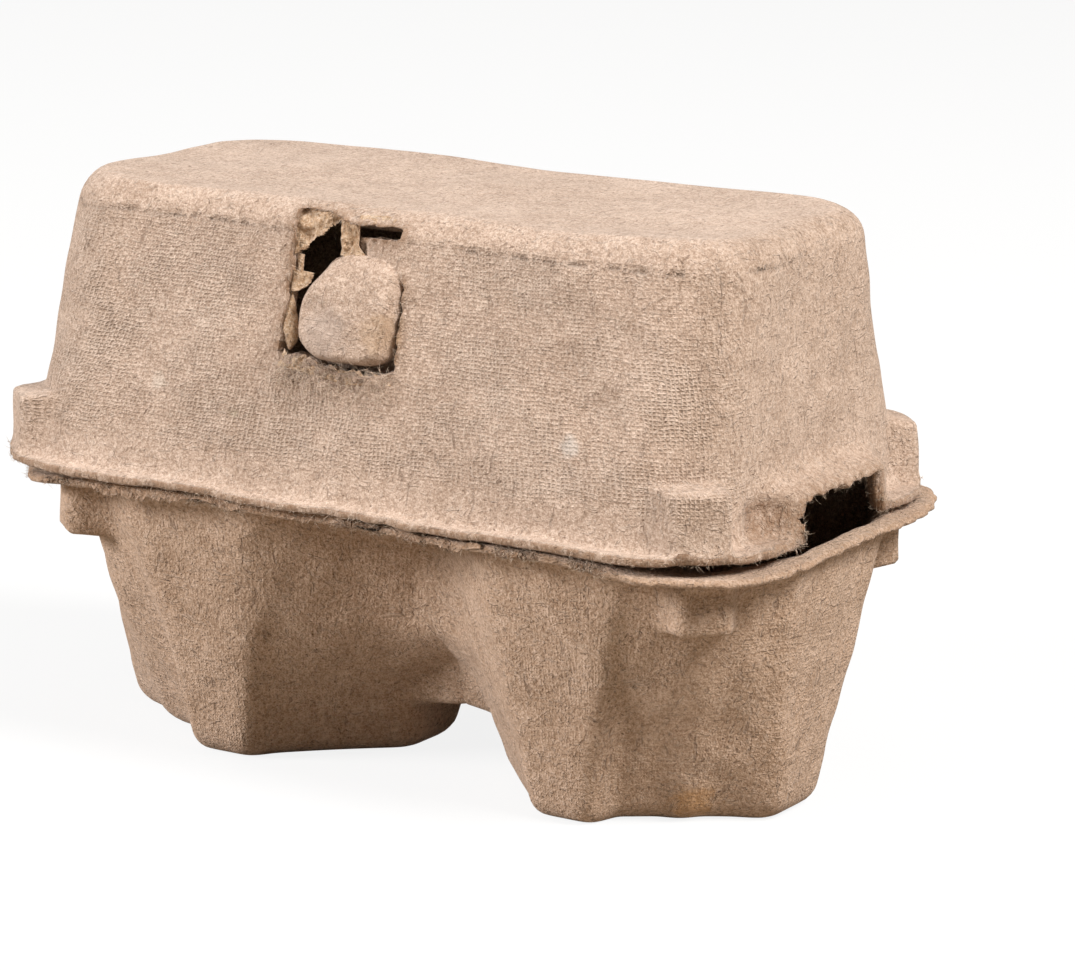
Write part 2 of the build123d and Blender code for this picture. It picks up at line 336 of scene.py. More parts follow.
def pulp(name, look):
    # moulded pulp: matted fibres, print where the sheet faced the screen, torn places browner and rougher,
    # spots of colour, and painted shade darkening the crease line
    mat = bpy.data.materials.new(name)
    mat.use_nodes = True
    t = mat.node_tree
    t.nodes.clear()
    coord = add(t, "ShaderNodeTexCoord").outputs
    at = coord["Object"]
    fibres = add(t, "ShaderNodeGroup", {"Vector": at}, node_tree=fibreGroup).outputs
    screen = add(t, "ShaderNodeGroup", {"UV": coord["UV"], "Object": at}, node_tree=screenGroup).outputs
    screenMask, tear, crease = (attribute(t, key) for key in ("screen", "tear", "crease"))
    weave = calc(t, "MULTIPLY", screen["Height"], screenMask)
    printed = calc(t, "MULTIPLY", screenMask, look["print"])
    weaveShade = calc(t, "MULTIPLY", calc(t, "SUBTRACT", weave, 0.35), printed)
    shade = calc(t, "ADD", calc(t, "MULTIPLY_ADD", fibres["Tone"], look["contrast"], 0.5), weaveShade)
    base, deep, pale, fleck, torn = ((*look[key], 1) for key in ("base", "deep", "pale", "fleck", "torn"))
    tones = add(t, "ShaderNodeValToRGB", {0: shade})
    stops = tones.color_ramp.elements
    stops[0].position, stops[0].color = 0.12, deep
    stops[1].position, stops[1].color = 0.88, pale
    stops.new(0.5).color = base
    colour = mixColour(t, calc(t, "MULTIPLY", fibres["Pale"], look["threads"]), tones.outputs[0], pale)
    colour = mixColour(t, calc(t, "MULTIPLY", fibres["Dark"], look["flecks"]), colour, fleck)
    shreds = noise(t, stretched(t, at, (0.4, 0.2, 0.9), (1, 1, 0.35)), 900, 4, 0.7)
    tornMask = calc(t, "MULTIPLY", tear, ramp(t, shreds, 0.30, 0.62), clamp=True)
    colour = mixColour(t, calc(t, "MULTIPLY", tornMask, look["tornMix"]), colour, torn)
    for spot in look["spots"]:
        colour = addSpot(t, colour, at, spot)
    # painted shade: along the crease mask the colour is darkened towards the fleck colour, standing in for
    # the shade in the crack, and the bump is pressed in there
    crackShadeAndDent = calc(t, "MULTIPLY", crease, ramp(t, noise(t, at, 900, 3, 0.7), 0.40, 0.60))
    colour = mixColour(t, calc(t, "MULTIPLY", crackShadeAndDent, 0.42), colour, fleck)
    relief = calc(t, "SUBTRACT", fibres["Relief"], calc(t, "MULTIPLY", crackShadeAndDent, 1.4))
    height = weighted(t, (relief, look["relief"]), (weave, look["print"]),
                      (calc(t, "MULTIPLY", shreds, tear), look["tornRelief"]))
    bump = add(t, "ShaderNodeBump", {"Height": height, "Distance": 0.001, "Strength": 1.0}).outputs[0]
    rough = calc(t, "MULTIPLY_ADD", fibres["Tone"], -0.12, 0.92, clamp=True)
    shader = add(t, "ShaderNodeBsdfPrincipled", {"Base Color": colour, "Roughness": rough, "Normal": bump,
                                                 "Specular IOR Level": 0.18, "Sheen Weight": 0.12,
                                                 "Sheen Roughness": 0.6})
    add(t, "ShaderNodeOutputMaterial", {"Surface": shader.outputs[0]})
    return mat


# colours are linear; a spot is x, y, z and size in millimetres, its colour and how much of it shows
pulpLook = dict(base=(0.472, 0.341, 0.263), deep=(0.305, 0.206, 0.145), pale=(0.66, 0.51, 0.415),
                contrast=0.80, threads=0.34, flecks=0.75, fleck=(0.13, 0.075, 0.045),
                torn=(0.25, 0.135, 0.068), tornMix=0.85, relief=0.30, print=0.19, tornRelief=0.5, spots=[])
lidStainsAndButtonShade = [(-25.5, -26.5, 44.0, 1.6, (0.72, 0.66, 0.58), 0.28),
            (27.5, -26.0, 43.5, 1.5, (0.74, 0.70, 0.66), 0.35),
            (-15.0, -25.0, 41.5, 1.6, (0.30, 0.30, 0.17), 0.4),
            # these two paint the button's left half a little lighter and greyer and its right half darker and
            # yellower: painted light and shade across its face
            (-4.0, -26.0, 52.0, 4.2, (0.46, 0.36, 0.31), 0.45),
            (3.4, -25.5, 52.5, 3.4, (0.47, 0.31, 0.19), 0.45)]
lidPulp = pulp("lidPulp", dict(pulpLook, spots=lidStainsAndButtonShade))
# the tray's copy of the pulp has more relief, less print and more flecks; its deeper, more saturated colours
# than the lid's are painted shade for the cups under the flange, since tray and lid are one sheet
shadedTrayPulp = pulp("shadedTrayPulp", dict(pulpLook, base=(0.475, 0.322, 0.226), deep=(0.29, 0.178, 0.108),
                                 pale=(0.65, 0.475, 0.365), relief=0.42, print=0.055, flecks=0.9,
                                 spots=[(36.0, -12.0, 2.6, 3.2, (0.50, 0.26, 0.09), 0.55)]))
tornPulp = pulp("tornPulp", dict(pulpLook, base=(0.56, 0.39, 0.26), deep=(0.36, 0.21, 0.11),
                                 pale=(0.74, 0.58, 0.44), contrast=0.9, threads=0.6, relief=0.35))
hairPulp = pulp("hairPulp", dict(pulpLook, base=(0.70, 0.55, 0.43), deep=(0.52, 0.38, 0.27),
                                 pale=(0.82, 0.70, 0.59)))
print("materials built")

# tray: pairs are a size at the foot and at the rim; a rib is x, y and radius; lean and outline are angles in
# degrees with the distance of a leaning core wall and of the rounded outline; valleyAt and innerAt are
# heights and values, with straight lines between
cup = dict(
    middle=22.0, columns=300, pitch=0.2, top=31.0, lobeInner=(18.3, 14.6), lobeOuter=(26.6, 32.6),
    lobeBack=1.7, endX=(42.0, 46.6), sideY=(18.2, 24.2), endHalf=(5.2, 12.0), ribFoot=(31.8, 7.7, 3.4),
    ribRim=(37.5, 15.8, 5.4),
    lean=((270.0, (14.0, 22.2)), (306.2, (27.6, 39.4)), (0.0, (39.8, 44.7)), (53.8, (27.6, 39.4)),
          (90.0, (14.0, 22.2))),
    outline=((0, (20.0, 24.6)), (22.5, (17.0, 25.8)), (45, (17.2, 27.5)), (67.5, (16.5, 25.9)),
             (90, (18.2, 24.2))),
    valleyAt=((0, 9, 13, 17, 25, 31), (-1.9, 3.6, 7.2, 10.6, 11.8, 12.6)),
    innerAt=((0, 6.5, 12, 14.5, 31), (-5.5, -4.9, -2.6, 0.8, 9.0)),
    fill=0.8, fillFrom=9, fillTo=29, keelZ=6.4, keelHalf=(5.0, 7.5), keelReach=22.8, lugReach=8.6,
    lugHalf=3.5, lugZ=24.0, softTurn=2.5, softUp=1.8, valleySoft=2.4, footRound=2.2, innerRound=1.4,
    rimRound=1.7, floor=1.6, soleArch=0.35)
# how the moulding has settled: the valley's place, the left end's foot and the droop of the flange's ends
settle = dict(valley=2.4, valleyWide=12.0, gapOpen=0.7, leftFoot=1.8, rightDroop=0.85, leftDroop=0.9)


def cupTable(inset):
    # reach from a cup's middle to its wall, a row for each pitch of height: the furthest of leaning core
    # walls, two side lobes, end lobe, corner ribs, keel towards the other cup and lugs, softened both ways
    z = np.arange(0, 32.6, cup["pitch"])[:, None]
    turn = np.linspace(-np.pi, np.pi, cup["columns"], endpoint=False)[None] + 0 * z
    c, s = np.cos(turn), np.sin(turn)
    mid, t = cup["middle"], z / cup["top"]

    def at(pair):
        return pair[0] + (pair[1] - pair[0]) * t

    half = math.pi / 2
    x0, x1, y1 = at(cup["lobeInner"]), at(cup["lobeOuter"]), at(cup["sideY"])
    # slanted wall between the lobe's inner corner and the valley's line at x = 0
    valley = np.interp(z, *cup["valleyAt"])
    back = cup["lobeBack"] * (1 - t)
    drop = y1 - back - valley
    long = np.hypot(x0, drop)
    slantTurn, slantFar = np.arctan2(x0, -drop), x0 * valley / long + mid * drop / long - inset
    slants = [(slantTurn, slantFar), (-slantTurn, slantFar)]
    inner = (math.pi, np.interp(z, *cup["innerAt"]) - inset + mid)
    lean = [(math.radians(a), at(pair) - inset - mid * math.cos(math.radians(a))) for a, pair in cup["lean"]]
    core = wallReach(c, s, lean + slants + [inner])
    outer, side = (0, x1 - inset - mid), y1 - inset
    wedge = wallReach(c, s, [outer, (half, y1 - back - inset), (-half, y1 - back - inset), inner] + slants)
    lobes = wallReach(c, s, [outer, (half, side), (-half, side), (math.pi, mid - x0 - inset)])
    w = at(cup["endHalf"]) - inset
    end = wallReach(c, s, [(0, at(cup["endX"]) - inset - mid), (math.pi, 0.5 + 0 * z), (half, w), (-half, w)])
    reach = np.maximum(np.maximum(core, wedge), np.maximum(lobes, end))
    ribX, ribY, ribR = (at(pair) for pair in zip(cup["ribFoot"], cup["ribRim"]))
    for way in (-1, 1):
        reach = np.maximum(reach, circleReach(c, s, ribX - mid, way * ribY, ribR - inset))
    # towards the rim the grooves fill up to one rounded outline
    rounded = [(math.radians(a), at(pair) - inset) for a, pair in cup["outline"]]
    hull = wallReach(c, s, rounded + [(-a, d) for a, d in rounded] + slants + [inner])
    reach = reach + np.maximum(hull - reach, 0) * cup["fill"] * step(z, cup["fillFrom"], cup["fillTo"])
    low, high = cup["keelHalf"]
    depth = low + (high - low) * (z - cup["keelZ"]) / 10 - inset
    keelSide = np.maximum(depth, 0.5) / np.maximum(np.abs(s), 1e-6)
    keel = np.minimum(cup["keelReach"] / np.maximum(-c, 1e-6), keelSide)
    reach = np.where((z > cup["keelZ"] + inset) & (c < 0), np.maximum(reach, keel), reach)
    reach = blur(blur(reach, cup["softTurn"], 1, True), cup["softUp"], 0, False)
    for way in (-1, 1):
        lug = blockReach(c, s, cornerX - mid, way * cornerY, way * math.pi / 4, cup["lugHalf"] - inset,
                         cup["lugReach"] - inset)
        reach = np.where(z > cup["lugZ"] + inset, np.maximum(reach, lug), reach)
    return blur(blur(reach, 1.0, 1, True), 1.2, 0, False)


def flangeReach(c, s, x):
    # ray from a point at x on the middle line to the rounded outline of a flange, found by bisection
    hx, hy, r = carton["halfX"], carton["halfY"], carton["corner"]
    low, high = np.zeros_like(c), np.full_like(c, 120.0)
    for _ in range(26):
        mid = (low + high) / 2
        px, py = np.abs(x + mid * c), np.abs(mid * s)
        dx, dy = np.maximum(px - hx + r, 0), np.maximum(py - hy + r, 0)
        out = np.where((px > hx - r) & (py > hy - r), dx * dx + dy * dy > r * r, (px > hx) | (py > hy))
        high, low = np.where(out, mid, high), np.where(out, low, mid)
    return low


def frontRecess(x):
    # how far the middle of the front flange stands back, from its left end to its right
    return 1.3 * step(x, -44, -36) * (1 - step(x, 4, 18))


def cupRows(inner, c, s):
    # rows of the cup from the middle of the sole to the rim: sole, quarter circle at the foot, wall
    table = cupTable(carton["wall"] if inner else 0.0)
    soleZ, foot = (cup["floor"], cup["innerRound"]) if inner else (0.0, cup["footRound"])
    rim = carton["flangeZ"] - cup["rimRound"]
    wallZ = np.append(bands((soleZ + foot, 5.0, 0.55), (5.0, 8.6, 0.3), (8.6, 22.4, 0.6), (22.4, 26.4, 0.4),
                            (26.4, rim, 0.6)), rim)
    wallR = atHeights(table, 0, cup["pitch"], wallZ)
    quarter = np.linspace(0, np.pi / 2, 7)[:-1]
    footZ = soleZ + foot * (1 - np.cos(quarter))
    footR = atHeights(table, 0, cup["pitch"], footZ) - foot * (1 - np.sin(quarter))[:, None]
    shrink = np.array([0.0, 0.12, 0.25, 0.38, 0.5, 0.62, 0.72, 0.8, 0.87, 0.93, 0.97])[:, None]
    soleH = soleZ + cup["soleArch"] * (1 - shrink[:, 0] ** 2)
    r = np.vstack([footR[:1] * shrink, footR, wallR])
    return cup["middle"] + r * c, r * s, np.concatenate([soleH, footZ, wallZ])[:, None] + 0 * r


def cupSkin(inner, side):
    # one half of the tray's skin: each column runs from the middle of the sole out, up the wall and over
    # the flange; where it meets the middle plane before the flange, it stops there
    turn = np.linspace(-np.pi, np.pi, cup["columns"], endpoint=False)
    c, s = np.cos(turn), np.sin(turn)
    mid, rim = cup["middle"], carton["flangeZ"] - cup["rimRound"]
    x, y, z = cupRows(inner, c, s)
    beyond = x < 0
    # a column's own crossing of the middle plane, between the last row inside and the first row beyond
    first = np.argmax(beyond, axis=0)
    crosses = beyond.any(axis=0)
    k = np.arange(len(c))
    a, b = np.maximum(first - 1, 0), first
    f = np.where(crosses, x[a, k] / np.maximum(x[a, k] - x[b, k], 1e-9), 0)
    yc, zc = y[a, k] * (1 - f) + y[b, k] * f, z[a, k] * (1 - f) + z[b, k] * f
    x, y, z = np.where(beyond, 0, x), np.where(beyond, yc, y), np.where(beyond, zc, z)
    # flange rows go from the rim to the flange's edge, whose column angles are squeezed to end at the plane
    whole = ~crosses
    rimTurn = np.abs(turn[whole]).max()
    edgeTurn = math.pi - math.atan2(carton["halfY"], mid)
    squeeze = np.clip(turn / (rimTurn + 0.5 * (turn[1] - turn[0])), -1, 1) * edgeTurn
    ec, es = np.cos(squeeze), np.sin(squeeze)
    e = flangeReach(ec, es, mid)
    ex, ey = np.maximum(mid + e * ec, 0), e * es
    where = np.stack([ex * side, ey, 0 * ex], -1)
    fray = 0.22 * waves(where, 4.6, 5) + 0.07 * waves(where, 1.1, 6)
    inwards = (0.35 + np.maximum(fray, -0.3) + frontRecess(ex * side) * step(-ey, 24, 28)) / e
    ex, ey = ex * (1 - inwards * (ex > 0.01)), ey * (1 - inwards)
    valleyY = np.abs(y[-1][whole][[0, -1]]).mean()
    rx, ry = np.where(whole, x[-1], 0.0), np.where(whole, y[-1], np.where(turn > 0, 1, -1) * valleyY)
    w = np.array([0.10, 0.22, 0.34, 0.46, 0.58, 0.70, 0.82, 0.92, 0.98, 1.0])[:, None]
    fx, fy = rx + (ex - rx) * w, ry + (ey - ry) * w
    far, left = np.hypot(fx - rx, fy - ry), np.hypot(fx - ex, fy - ey)
    fz = rim + cup["rimRound"] * (1 - (1 - np.clip(far / cup["rimRound"], 0, 1)) ** 2)
    # the pressed edge: the flange thins towards it from below, and its last half millimetre is rounded
    edgeRound = (1 - np.clip(left / 0.5, 0, 1)) ** 2
    if inner:
        fz = fz + (carton["trayTop"] - carton["flangeZ"]) - 0.35 * edgeRound
    else:
        fz = fz + 0.25 * edgeRound + 0.35 * np.exp(-(left / 2.2) ** 2)
    x, y, z = np.vstack([x, fx]), np.vstack([y, fy]), np.vstack([z, fz])
    beyond = np.vstack([beyond, np.repeat(crosses[None], len(w), 0)])
    if inner:      # the wall's own rows rise by the flange's thickness near the rim
        z = z + np.where(np.arange(len(z))[:, None] < len(z) - len(w), 1.2 * step(z, 20, rim), 0)
    # soft valley: the V between the cups is filled by the hyperbola sqrt(x^2 + e^2) in place of |x|
    e2 = cup["valleySoft"] * (0.8 if inner else 1.0)
    amount = 0.72 * (np.sqrt(x * x + e2 * e2) - x) * np.exp(-(x / 7.0) ** 2)
    fade = np.ones(len(z))[:, None] * (z > 1.5)
    fade[-len(w):] *= (1 - w) ** 2
    y = y + np.tanh(y / 3.0) * amount * fade * (-0.6 if inner else 1.0)
    p = np.stack([carton["trayX"] + side * x, carton["cellY"] + y, z], -1)
    return p, beyond, turn, runLength(p[:, len(c) // 2 + 30])


def lipWaves(p):
    # rise and fall that the flanges and the fold share, so that they stay together
    return 0.16 * waves(p * (1, 1, 0), 19, 31) + 0.06 * waves(p * (1, 1, 0), 5, 32)


def bendTray(p):
    # undulation of the moulding and droop of the flange's ends; the same place always moves the same way
    q = p.copy()
    x, y, z = p[..., 0], p[..., 1], p[..., 2]
    gap = x - carton["trayX"]
    opened = 1 - settle["gapOpen"] * step(-gap, 1, 6) * (1 - step(z, 8, 16))
    q[..., 0] += settle["valley"] * np.exp(-(gap / settle["valleyWide"]) ** 2) * opened
    q[..., 0] -= settle["leftFoot"] * step(-x, 26, 38) * (1 - step(z, 6, 26))
    up = step(z, 2.0, 8.0)
    for axis, seed in ((0, 21), (1, 22)):
        q[..., axis] += up * (0.22 * waves(p, 17, seed) + 0.10 * waves(p, 6, seed + 4))
    lip = step(z, 29.8, 31.2)
    q[..., 2] += lip * lipWaves(p)
    front, held = 1 - step(y, -22, 6), 1 - step(y, 12, 24)
    ends = step(x, 26, 44) * settle["rightDroop"] + step(-x, 30, 46) * settle["leftDroop"]
    q[..., 2] -= lip * ends * held * (0.35 + 0.65 * front)
    return q


def makeTray():
    # four skins, an outer and an inner one for each half, joined along the flange's edge
    points, faces, uvs, base = [], [], [], 0
    masks = dict(tear=[], screen=[], crease=[])
    for side in (1, -1):
        edges = []
        for inner in (False, True):
            p, beyond, turn, length = cupSkin(inner, side)
            rows, cols = p.shape[:2]
            q = bendTray(p)
            quad = cells(rows, cols, True)
            gone = beyond.ravel()[quad].all(-1)
            uv = cellUv(np.append(turn, np.pi) * 30.0 * side, length, True)
            quad, uv = quad[~gone], uv[~gone]
            if (side > 0) == inner:
                quad, uv = quad[:, ::-1], uv[:, ::-1]
            # the flange's edge is torn, more so in patches of its front, where it is cracked too
            edge = np.zeros((rows, cols))
            edge[-3:] = [[0.5], [0.9], [1.0]]
            patch = step(waves(p * (1, 1, 0), 7, 33), -0.2, 0.5) * (p[..., 1] < -20)
            edge = edge * (0.45 + 0.55 * patch)
            # the crack mask is the crease attribute, which the material darkens as painted shade in the
            # cracks; here it also raises and lowers the cracked edge
            crack = edge * patch * (1 - step(np.abs(p[..., 0]), 40, 48))
            q[..., 2] += crack * 0.22 * waves(p, 1.5, 34)
            points.append(q.reshape(-1, 3))
            faces.append(quad + base)
            uvs.append(uv)
            masks["tear"].append(edge.ravel())
            masks["crease"].append(crack.ravel())
            masks["screen"].append((step(p[..., 2], 1.0, 3.0) * (1 - step(p[..., 2], 27.5, 30.5))).ravel())
            edges.append((base + (rows - 1) * cols, beyond[-1]))
            base += rows * cols
        k = np.arange(cols)
        n = (k + 1) % cols
        (a, shut), (b, _) = edges
        rim = np.stack([a + k, a + n, b + n, b + k], -1)[~(shut[k] & shut[n])]
        faces.append(rim if side > 0 else rim[:, ::-1])
        uvs.append(np.zeros((len(rim), 4, 2)))
    return piece("tray_shell", np.vstack(points), np.vstack(faces), np.vstack(uvs), shadedTrayPulp,
                 {key: np.concatenate(parts) for key, parts in masks.items()}, weld=0.02)


trayShell = makeTray()
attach(trayShell, "tray")
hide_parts("tray")
print("tray", sum(len(q.vertices) - 2 for q in trayShell.data.polygons))

# lid: half sides and corner radius of the wall at its base and crown, then its rounds, foot, lugs and vents
lid = dict(baseX=45.1, baseY=26.8, baseR=10.0, crownX=43.1, crownY=18.9, crownR=9.0, crownRound=3.2,
           innerRound=1.8, crownLine=22.0, crownRows=26, footZ=33.1, foot=34.8, innerFoot=34.6, tableZ=32.4,
           pitch=0.2, lugReach=12.4, lugHalf=3.5, lugTop=40.5, lugTaper=0.06, vent=9.0, ventY=0.3, ventZ=37.4,
           ventWave=0.30, flare=3.4, fine=0.34, coarse=0.82, plainColumn=0.547, creaseZ=61.75, far=9.0)
# the latch window on the front wall: its middle, how much the inner skin is torn back at right and less at
# left, and how deep the tab between slot and button is pressed in
window = dict(midX=-3.0, midZ=56.0, tearBack=0.40, tearLess=0.2, tabIn=1.25)
# its torn outline: x and z, going round from the upper left corner
windowLine = np.array([
    (-10.7, 64.1), (-9.6, 64.3), (-8.2, 64.1), (-6.8, 64.2), (-5.6, 63.8), (-4.6, 63.4), (-3.6, 63.2),
    (-2.5, 63.1), (-1.2, 63.3), (0.4, 63.2), (1.9, 63.5), (3.0, 63.3), (3.6, 62.9), (3.7, 62.4), (2.9, 62.1),
    (1.3, 61.9), (-0.6, 61.8), (-2.3, 61.7), (-4.2, 61.5), (-4.5, 60.6), (-4.6, 59.8), (-4.3, 58.9),
    (-2.5, 58.2), (-0.5, 58.0), (1.6, 57.9), (3.2, 58.0), (4.2, 58.1), (4.6, 57.2), (4.5, 55.8), (4.7, 54.3),
    (4.5, 52.6), (4.7, 50.9), (4.5, 49.5), (4.7, 48.4), (3.2, 47.8), (1.9, 47.5), (0.7, 47.3), (-0.6, 47.6),
    (-2.0, 47.4), (-3.3, 47.8), (-4.7, 47.7), (-5.9, 48.3), (-7.4, 48.4), (-8.6, 48.7), (-9.6, 48.4),
    (-10.6, 48.6), (-10.4, 50.3), (-10.7, 51.9), (-10.5, 53.8), (-10.7, 55.6), (-10.5, 57.4), (-10.8, 59.2),
    (-10.6, 61.0), (-10.8, 62.7)])


def outlineDistance(x, z, line):
    # distance to a closed outline, negative inside, and the nearest point on it, one side at a time
    best, nx, nz = np.full(x.shape, 1e9), np.zeros(x.shape), np.zeros(x.shape)
    odd = np.zeros(x.shape, bool)
    for (ax, az), (bx, bz) in zip(line, np.roll(line, -1, 0)):
        dx, dz = bx - ax, bz - az
        t = np.clip(((x - ax) * dx + (z - az) * dz) / (dx * dx + dz * dz), 0, 1)
        qx, qz = ax + t * dx, az + t * dz
        d = np.hypot(x - qx, z - qz)
        near = d < best
        best, nx, nz = np.where(near, d, best), np.where(near, qx, nx), np.where(near, qz, nz)
        if abs(dz) > 1e-9:
            odd ^= ((az > z) != (bz > z)) & (x < ax + dx * (z - az) / dz)
    return np.where(odd, -best, best), nx, nz


def wallSizes(z):
    # half sides and corner radius of the lid's wall at height z
    t = (z - lid["footZ"]) / (carton["height"] - lid["footZ"])
    return tuple(lid["base" + k] + (lid["crown" + k] - lid["base" + k]) * t for k in "XYR")


def frontFace(z):
    return carton["cellY"] - wallSizes(z)[1]


def lidDirections():
    # directions of the columns: steps along a rounded rectangle, finer across the window and at the lugs
    t = np.linspace(0, 2 * np.pi, 40001)
    c, s = np.sin(t), np.cos(t)
    r = rectReach(c, s, 44.5, 24.0, 10.0)
    x, y = r * c, r * s
    stepLen = np.hypot(np.diff(x), np.diff(y))
    mx, my = (x[1:] + x[:-1]) / 2, (y[1:] + y[:-1]) / 2
    front = (my < 0) * np.exp(-(np.maximum(np.abs(mx - window["midX"]) - 8.5, 0) / 3.0) ** 2)
    lugs = 0.55 * np.exp(-(np.hypot(np.abs(mx) - 41.5, np.abs(my) - 20.5) / 6.0) ** 4)
    density = stepLen / (lid["coarse"] - (lid["coarse"] - lid["fine"]) * np.maximum(front, lugs))
    total = np.concatenate([[0], np.cumsum(density)])
    count = int(total[-1])
    at = np.interp(np.arange(count) * total[-1] / count, total, t)
    length = np.interp(at, t, np.concatenate([[0], np.cumsum(stepLen)]))
    return np.sin(at), np.cos(at), np.append(length, stepLen.sum())


def lidTable(c, s, inset):
    # reach from the lid's middle to its wall at even heights, with lugs and the flare round the vents
    z = np.arange(lid["tableZ"], 65.4, lid["pitch"])[:, None]
    a, b, r = wallSizes(z)
    c, s = c[None] + 0 * z, s[None] + 0 * z
    reach = rectReach(c, s, a - inset, b - inset, r - inset)
    for sx in (-1, 1):
        for sy in (-1, 1):
            lug = blockReach(c, s, sx * cornerX, sy * cornerY, math.atan2(sy, sx), lid["lugHalf"] - inset,
                             lid["lugReach"] - inset)
            lug = np.where(lug > 0, lug - lid["lugTaper"] * np.maximum(z - 35, 0), 0)
            reach = np.where(z < lid["lugTop"] - inset, np.maximum(reach, lug), reach)
    reach = blur(blur(reach, 0.8, 1, True), 1.1, 0, False)
    beside = np.maximum(np.abs(reach * s - lid["ventY"]) - lid["vent"], 0) / 3.0
    away = np.hypot(beside, np.maximum(z - lid["ventZ"], 0) / 1.7)
    ends = np.abs(c) * reach > 38
    return reach + np.where(ends, lid["flare"] * np.exp(-away ** 2), 0)


def lidSkins(c, s):
    # outer and inner skin, in rows: flange from its frayed edge inwards, fillet, wall, crown edge by a
    # quarter circle, and the crown, drawn in to a line along its middle; with the number of rows on the
    # flange and on the wall
    tables = lidTable(c, s, 0.0), lidTable(c, s, carton["wall"])

    def reachAt(table, z):
        return atHeights(table, lid["tableZ"], lid["pitch"], np.atleast_1d(z))

    edge = rectReach(c, s, carton["halfX"], carton["halfY"], carton["corner"])
    spot = np.stack([edge * c, edge * s, 0 * c], -1)
    edge = edge - 0.35 - np.maximum(0.24 * waves(spot, 4.2, 7) + 0.09 * waves(spot, 1.1, 8), -0.3)
    foot, innerFoot = reachAt(tables[0], lid["foot"])[0], reachAt(tables[1], lid["innerFoot"])[0]
    w = np.array([0.0, 0.04, 0.12, 0.26, 0.42, 0.58, 0.74, 0.88])[:, None]
    top, under = (edge - np.maximum(edge - r, 0.1) * w for r in (foot + 0.2, innerFoot + 0.1))
    edgeRound = 0.35 * (1 - np.clip((edge - top) / 0.5, 0, 1)) ** 2
    fillet = (1 - np.clip((top - foot) / 1.1, 0, 1)) ** 2 * 0.9
    topZ = carton["lidSeat"] + (lid["foot"] - carton["lidSeat"]) * fillet - edgeRound
    underZ = carton["lidBase"] + edgeRound + 1.2 * (1 - np.clip((under - innerFoot) / 1.4, 0, 1)) ** 2
    wallZ = bands((lid["foot"], 39.0, 0.75), (39.0, 41.4, 0.27), (41.4, 46.6, 0.8), (46.6, 61.9, 0.37))
    innerZ = np.maximum(wallZ - 0.8 * (1 - step(wallZ, 35, 38)), lid["innerFoot"])
    turn = np.linspace(0, np.pi / 2, 9)
    across = np.linspace(0, 1, lid["crownRows"] + 1)[1:, None]
    skins = []
    for table, r, z, risingZ, crown, bend in (
            (tables[0], top, topZ, wallZ, carton["height"], lid["crownRound"]),
            (tables[1], under, underZ, innerZ, carton["height"] - carton["wall"], lid["innerRound"])):
        crownZ = crown - bend * (1 - np.sin(turn))
        crownR = reachAt(table, crownZ) - (bend * (1 - np.cos(turn)))[:, None]
        r = np.vstack([r, reachAt(table, risingZ), crownR])
        x, y = r * c, r * s
        lastX, lastY = x[-1], y[-1]
        lineX = np.clip(lastX, -lid["crownLine"], lid["crownLine"])
        x, y = np.vstack([x, lastX + (lineX - lastX) * across]), np.vstack([y, lastY * (1 - across)])
        z = np.vstack([z, risingZ[:, None] + 0 * c, crownZ[:, None] + 0 * c, crown + 0 * across + 0 * c])
        skins.append(np.stack([x + carton["lidX"], y + carton["cellY"], z], -1))
    return skins, len(w), len(wallZ)


def lidOpenings(o, flangeRows, wallRows):
    # distances to the window's torn outline and to the vents' sides and tops, with the nearest point on the
    # outline; they are negative inside, and a set large number where the opening can't be
    row = np.arange(len(o))[:, None]
    x, y, z = o[..., 0], o[..., 1], o[..., 2]
    onWall = (row >= flangeRows) & (row < len(o) - lid["crownRows"] - 1)
    zone = onWall & (y < -15) & (np.abs(x - window["midX"]) < 12) & (z > 44)
    toLine, lineX, lineZ = outlineDistance(x, z, windowLine)
    jag = (0.12 + 0.25 * (y < 0)) * waves(o, 1.6, 41)      # the front side of each vent is torn more
    side = np.abs(y - carton["cellY"] - lid["ventY"]) - lid["vent"] - jag
    top = z - lid["ventZ"] - lid["ventWave"] * waves(o * (0, 1, 0), 1.3, 43)
    low = (np.abs(x - carton["lidX"]) > 36) & (row < flangeRows + wallRows)
    return dict(zone=zone, window=np.where(zone, toLine, lid["far"]), lineX=lineX, lineZ=lineZ, ventSide=side,
                ventTop=top, vent=np.where(low, np.maximum(side, top), lid["far"]))


def openHoles(skins, near, touched):
    # points of kept cells that lie in a hole are moved onto its outline; the inner skin is torn back by
    # another measure, so the broken thickness shows round the window
    o = skins[0]
    left = step(-o[..., 0], 7.0, 9.5) * (o[..., 2] < 62.5)
    tornBack = window["tearBack"] - window["tearLess"] * left + 0.12 * waves(o, 1.5, 51)
    inWindow = touched & (near["window"] < 0)
    onSide = touched & (near["vent"] < 0) & (near["ventSide"] > near["ventTop"])
    onTop = touched & (near["vent"] < 0) & ~onSide
    for inner, p in enumerate(skins):
        x, z = near["lineX"], near["lineZ"]
        if inner:
            dx, dz = x - window["midX"], z - window["midZ"]
            away = np.hypot(dx, dz) + 1e-9
            x, z = x - dx / away * tornBack, z - dz / away * tornBack * 0.6
        lean = wallSizes(p[..., 2])[1] - wallSizes(z)[1]
        p[..., 1] = np.where(inWindow, p[..., 1] + lean, p[..., 1])
        p[..., 0] = np.where(inWindow, x, p[..., 0])
        p[..., 2] = np.where(inWindow, z, p[..., 2])
        sign = np.sign(p[..., 1] - carton["cellY"] - lid["ventY"])
        p[..., 1] = np.where(onSide, p[..., 1] - sign * near["ventSide"], p[..., 1])
        p[..., 2] = np.where(onTop, p[..., 2] - near["ventTop"], p[..., 2])


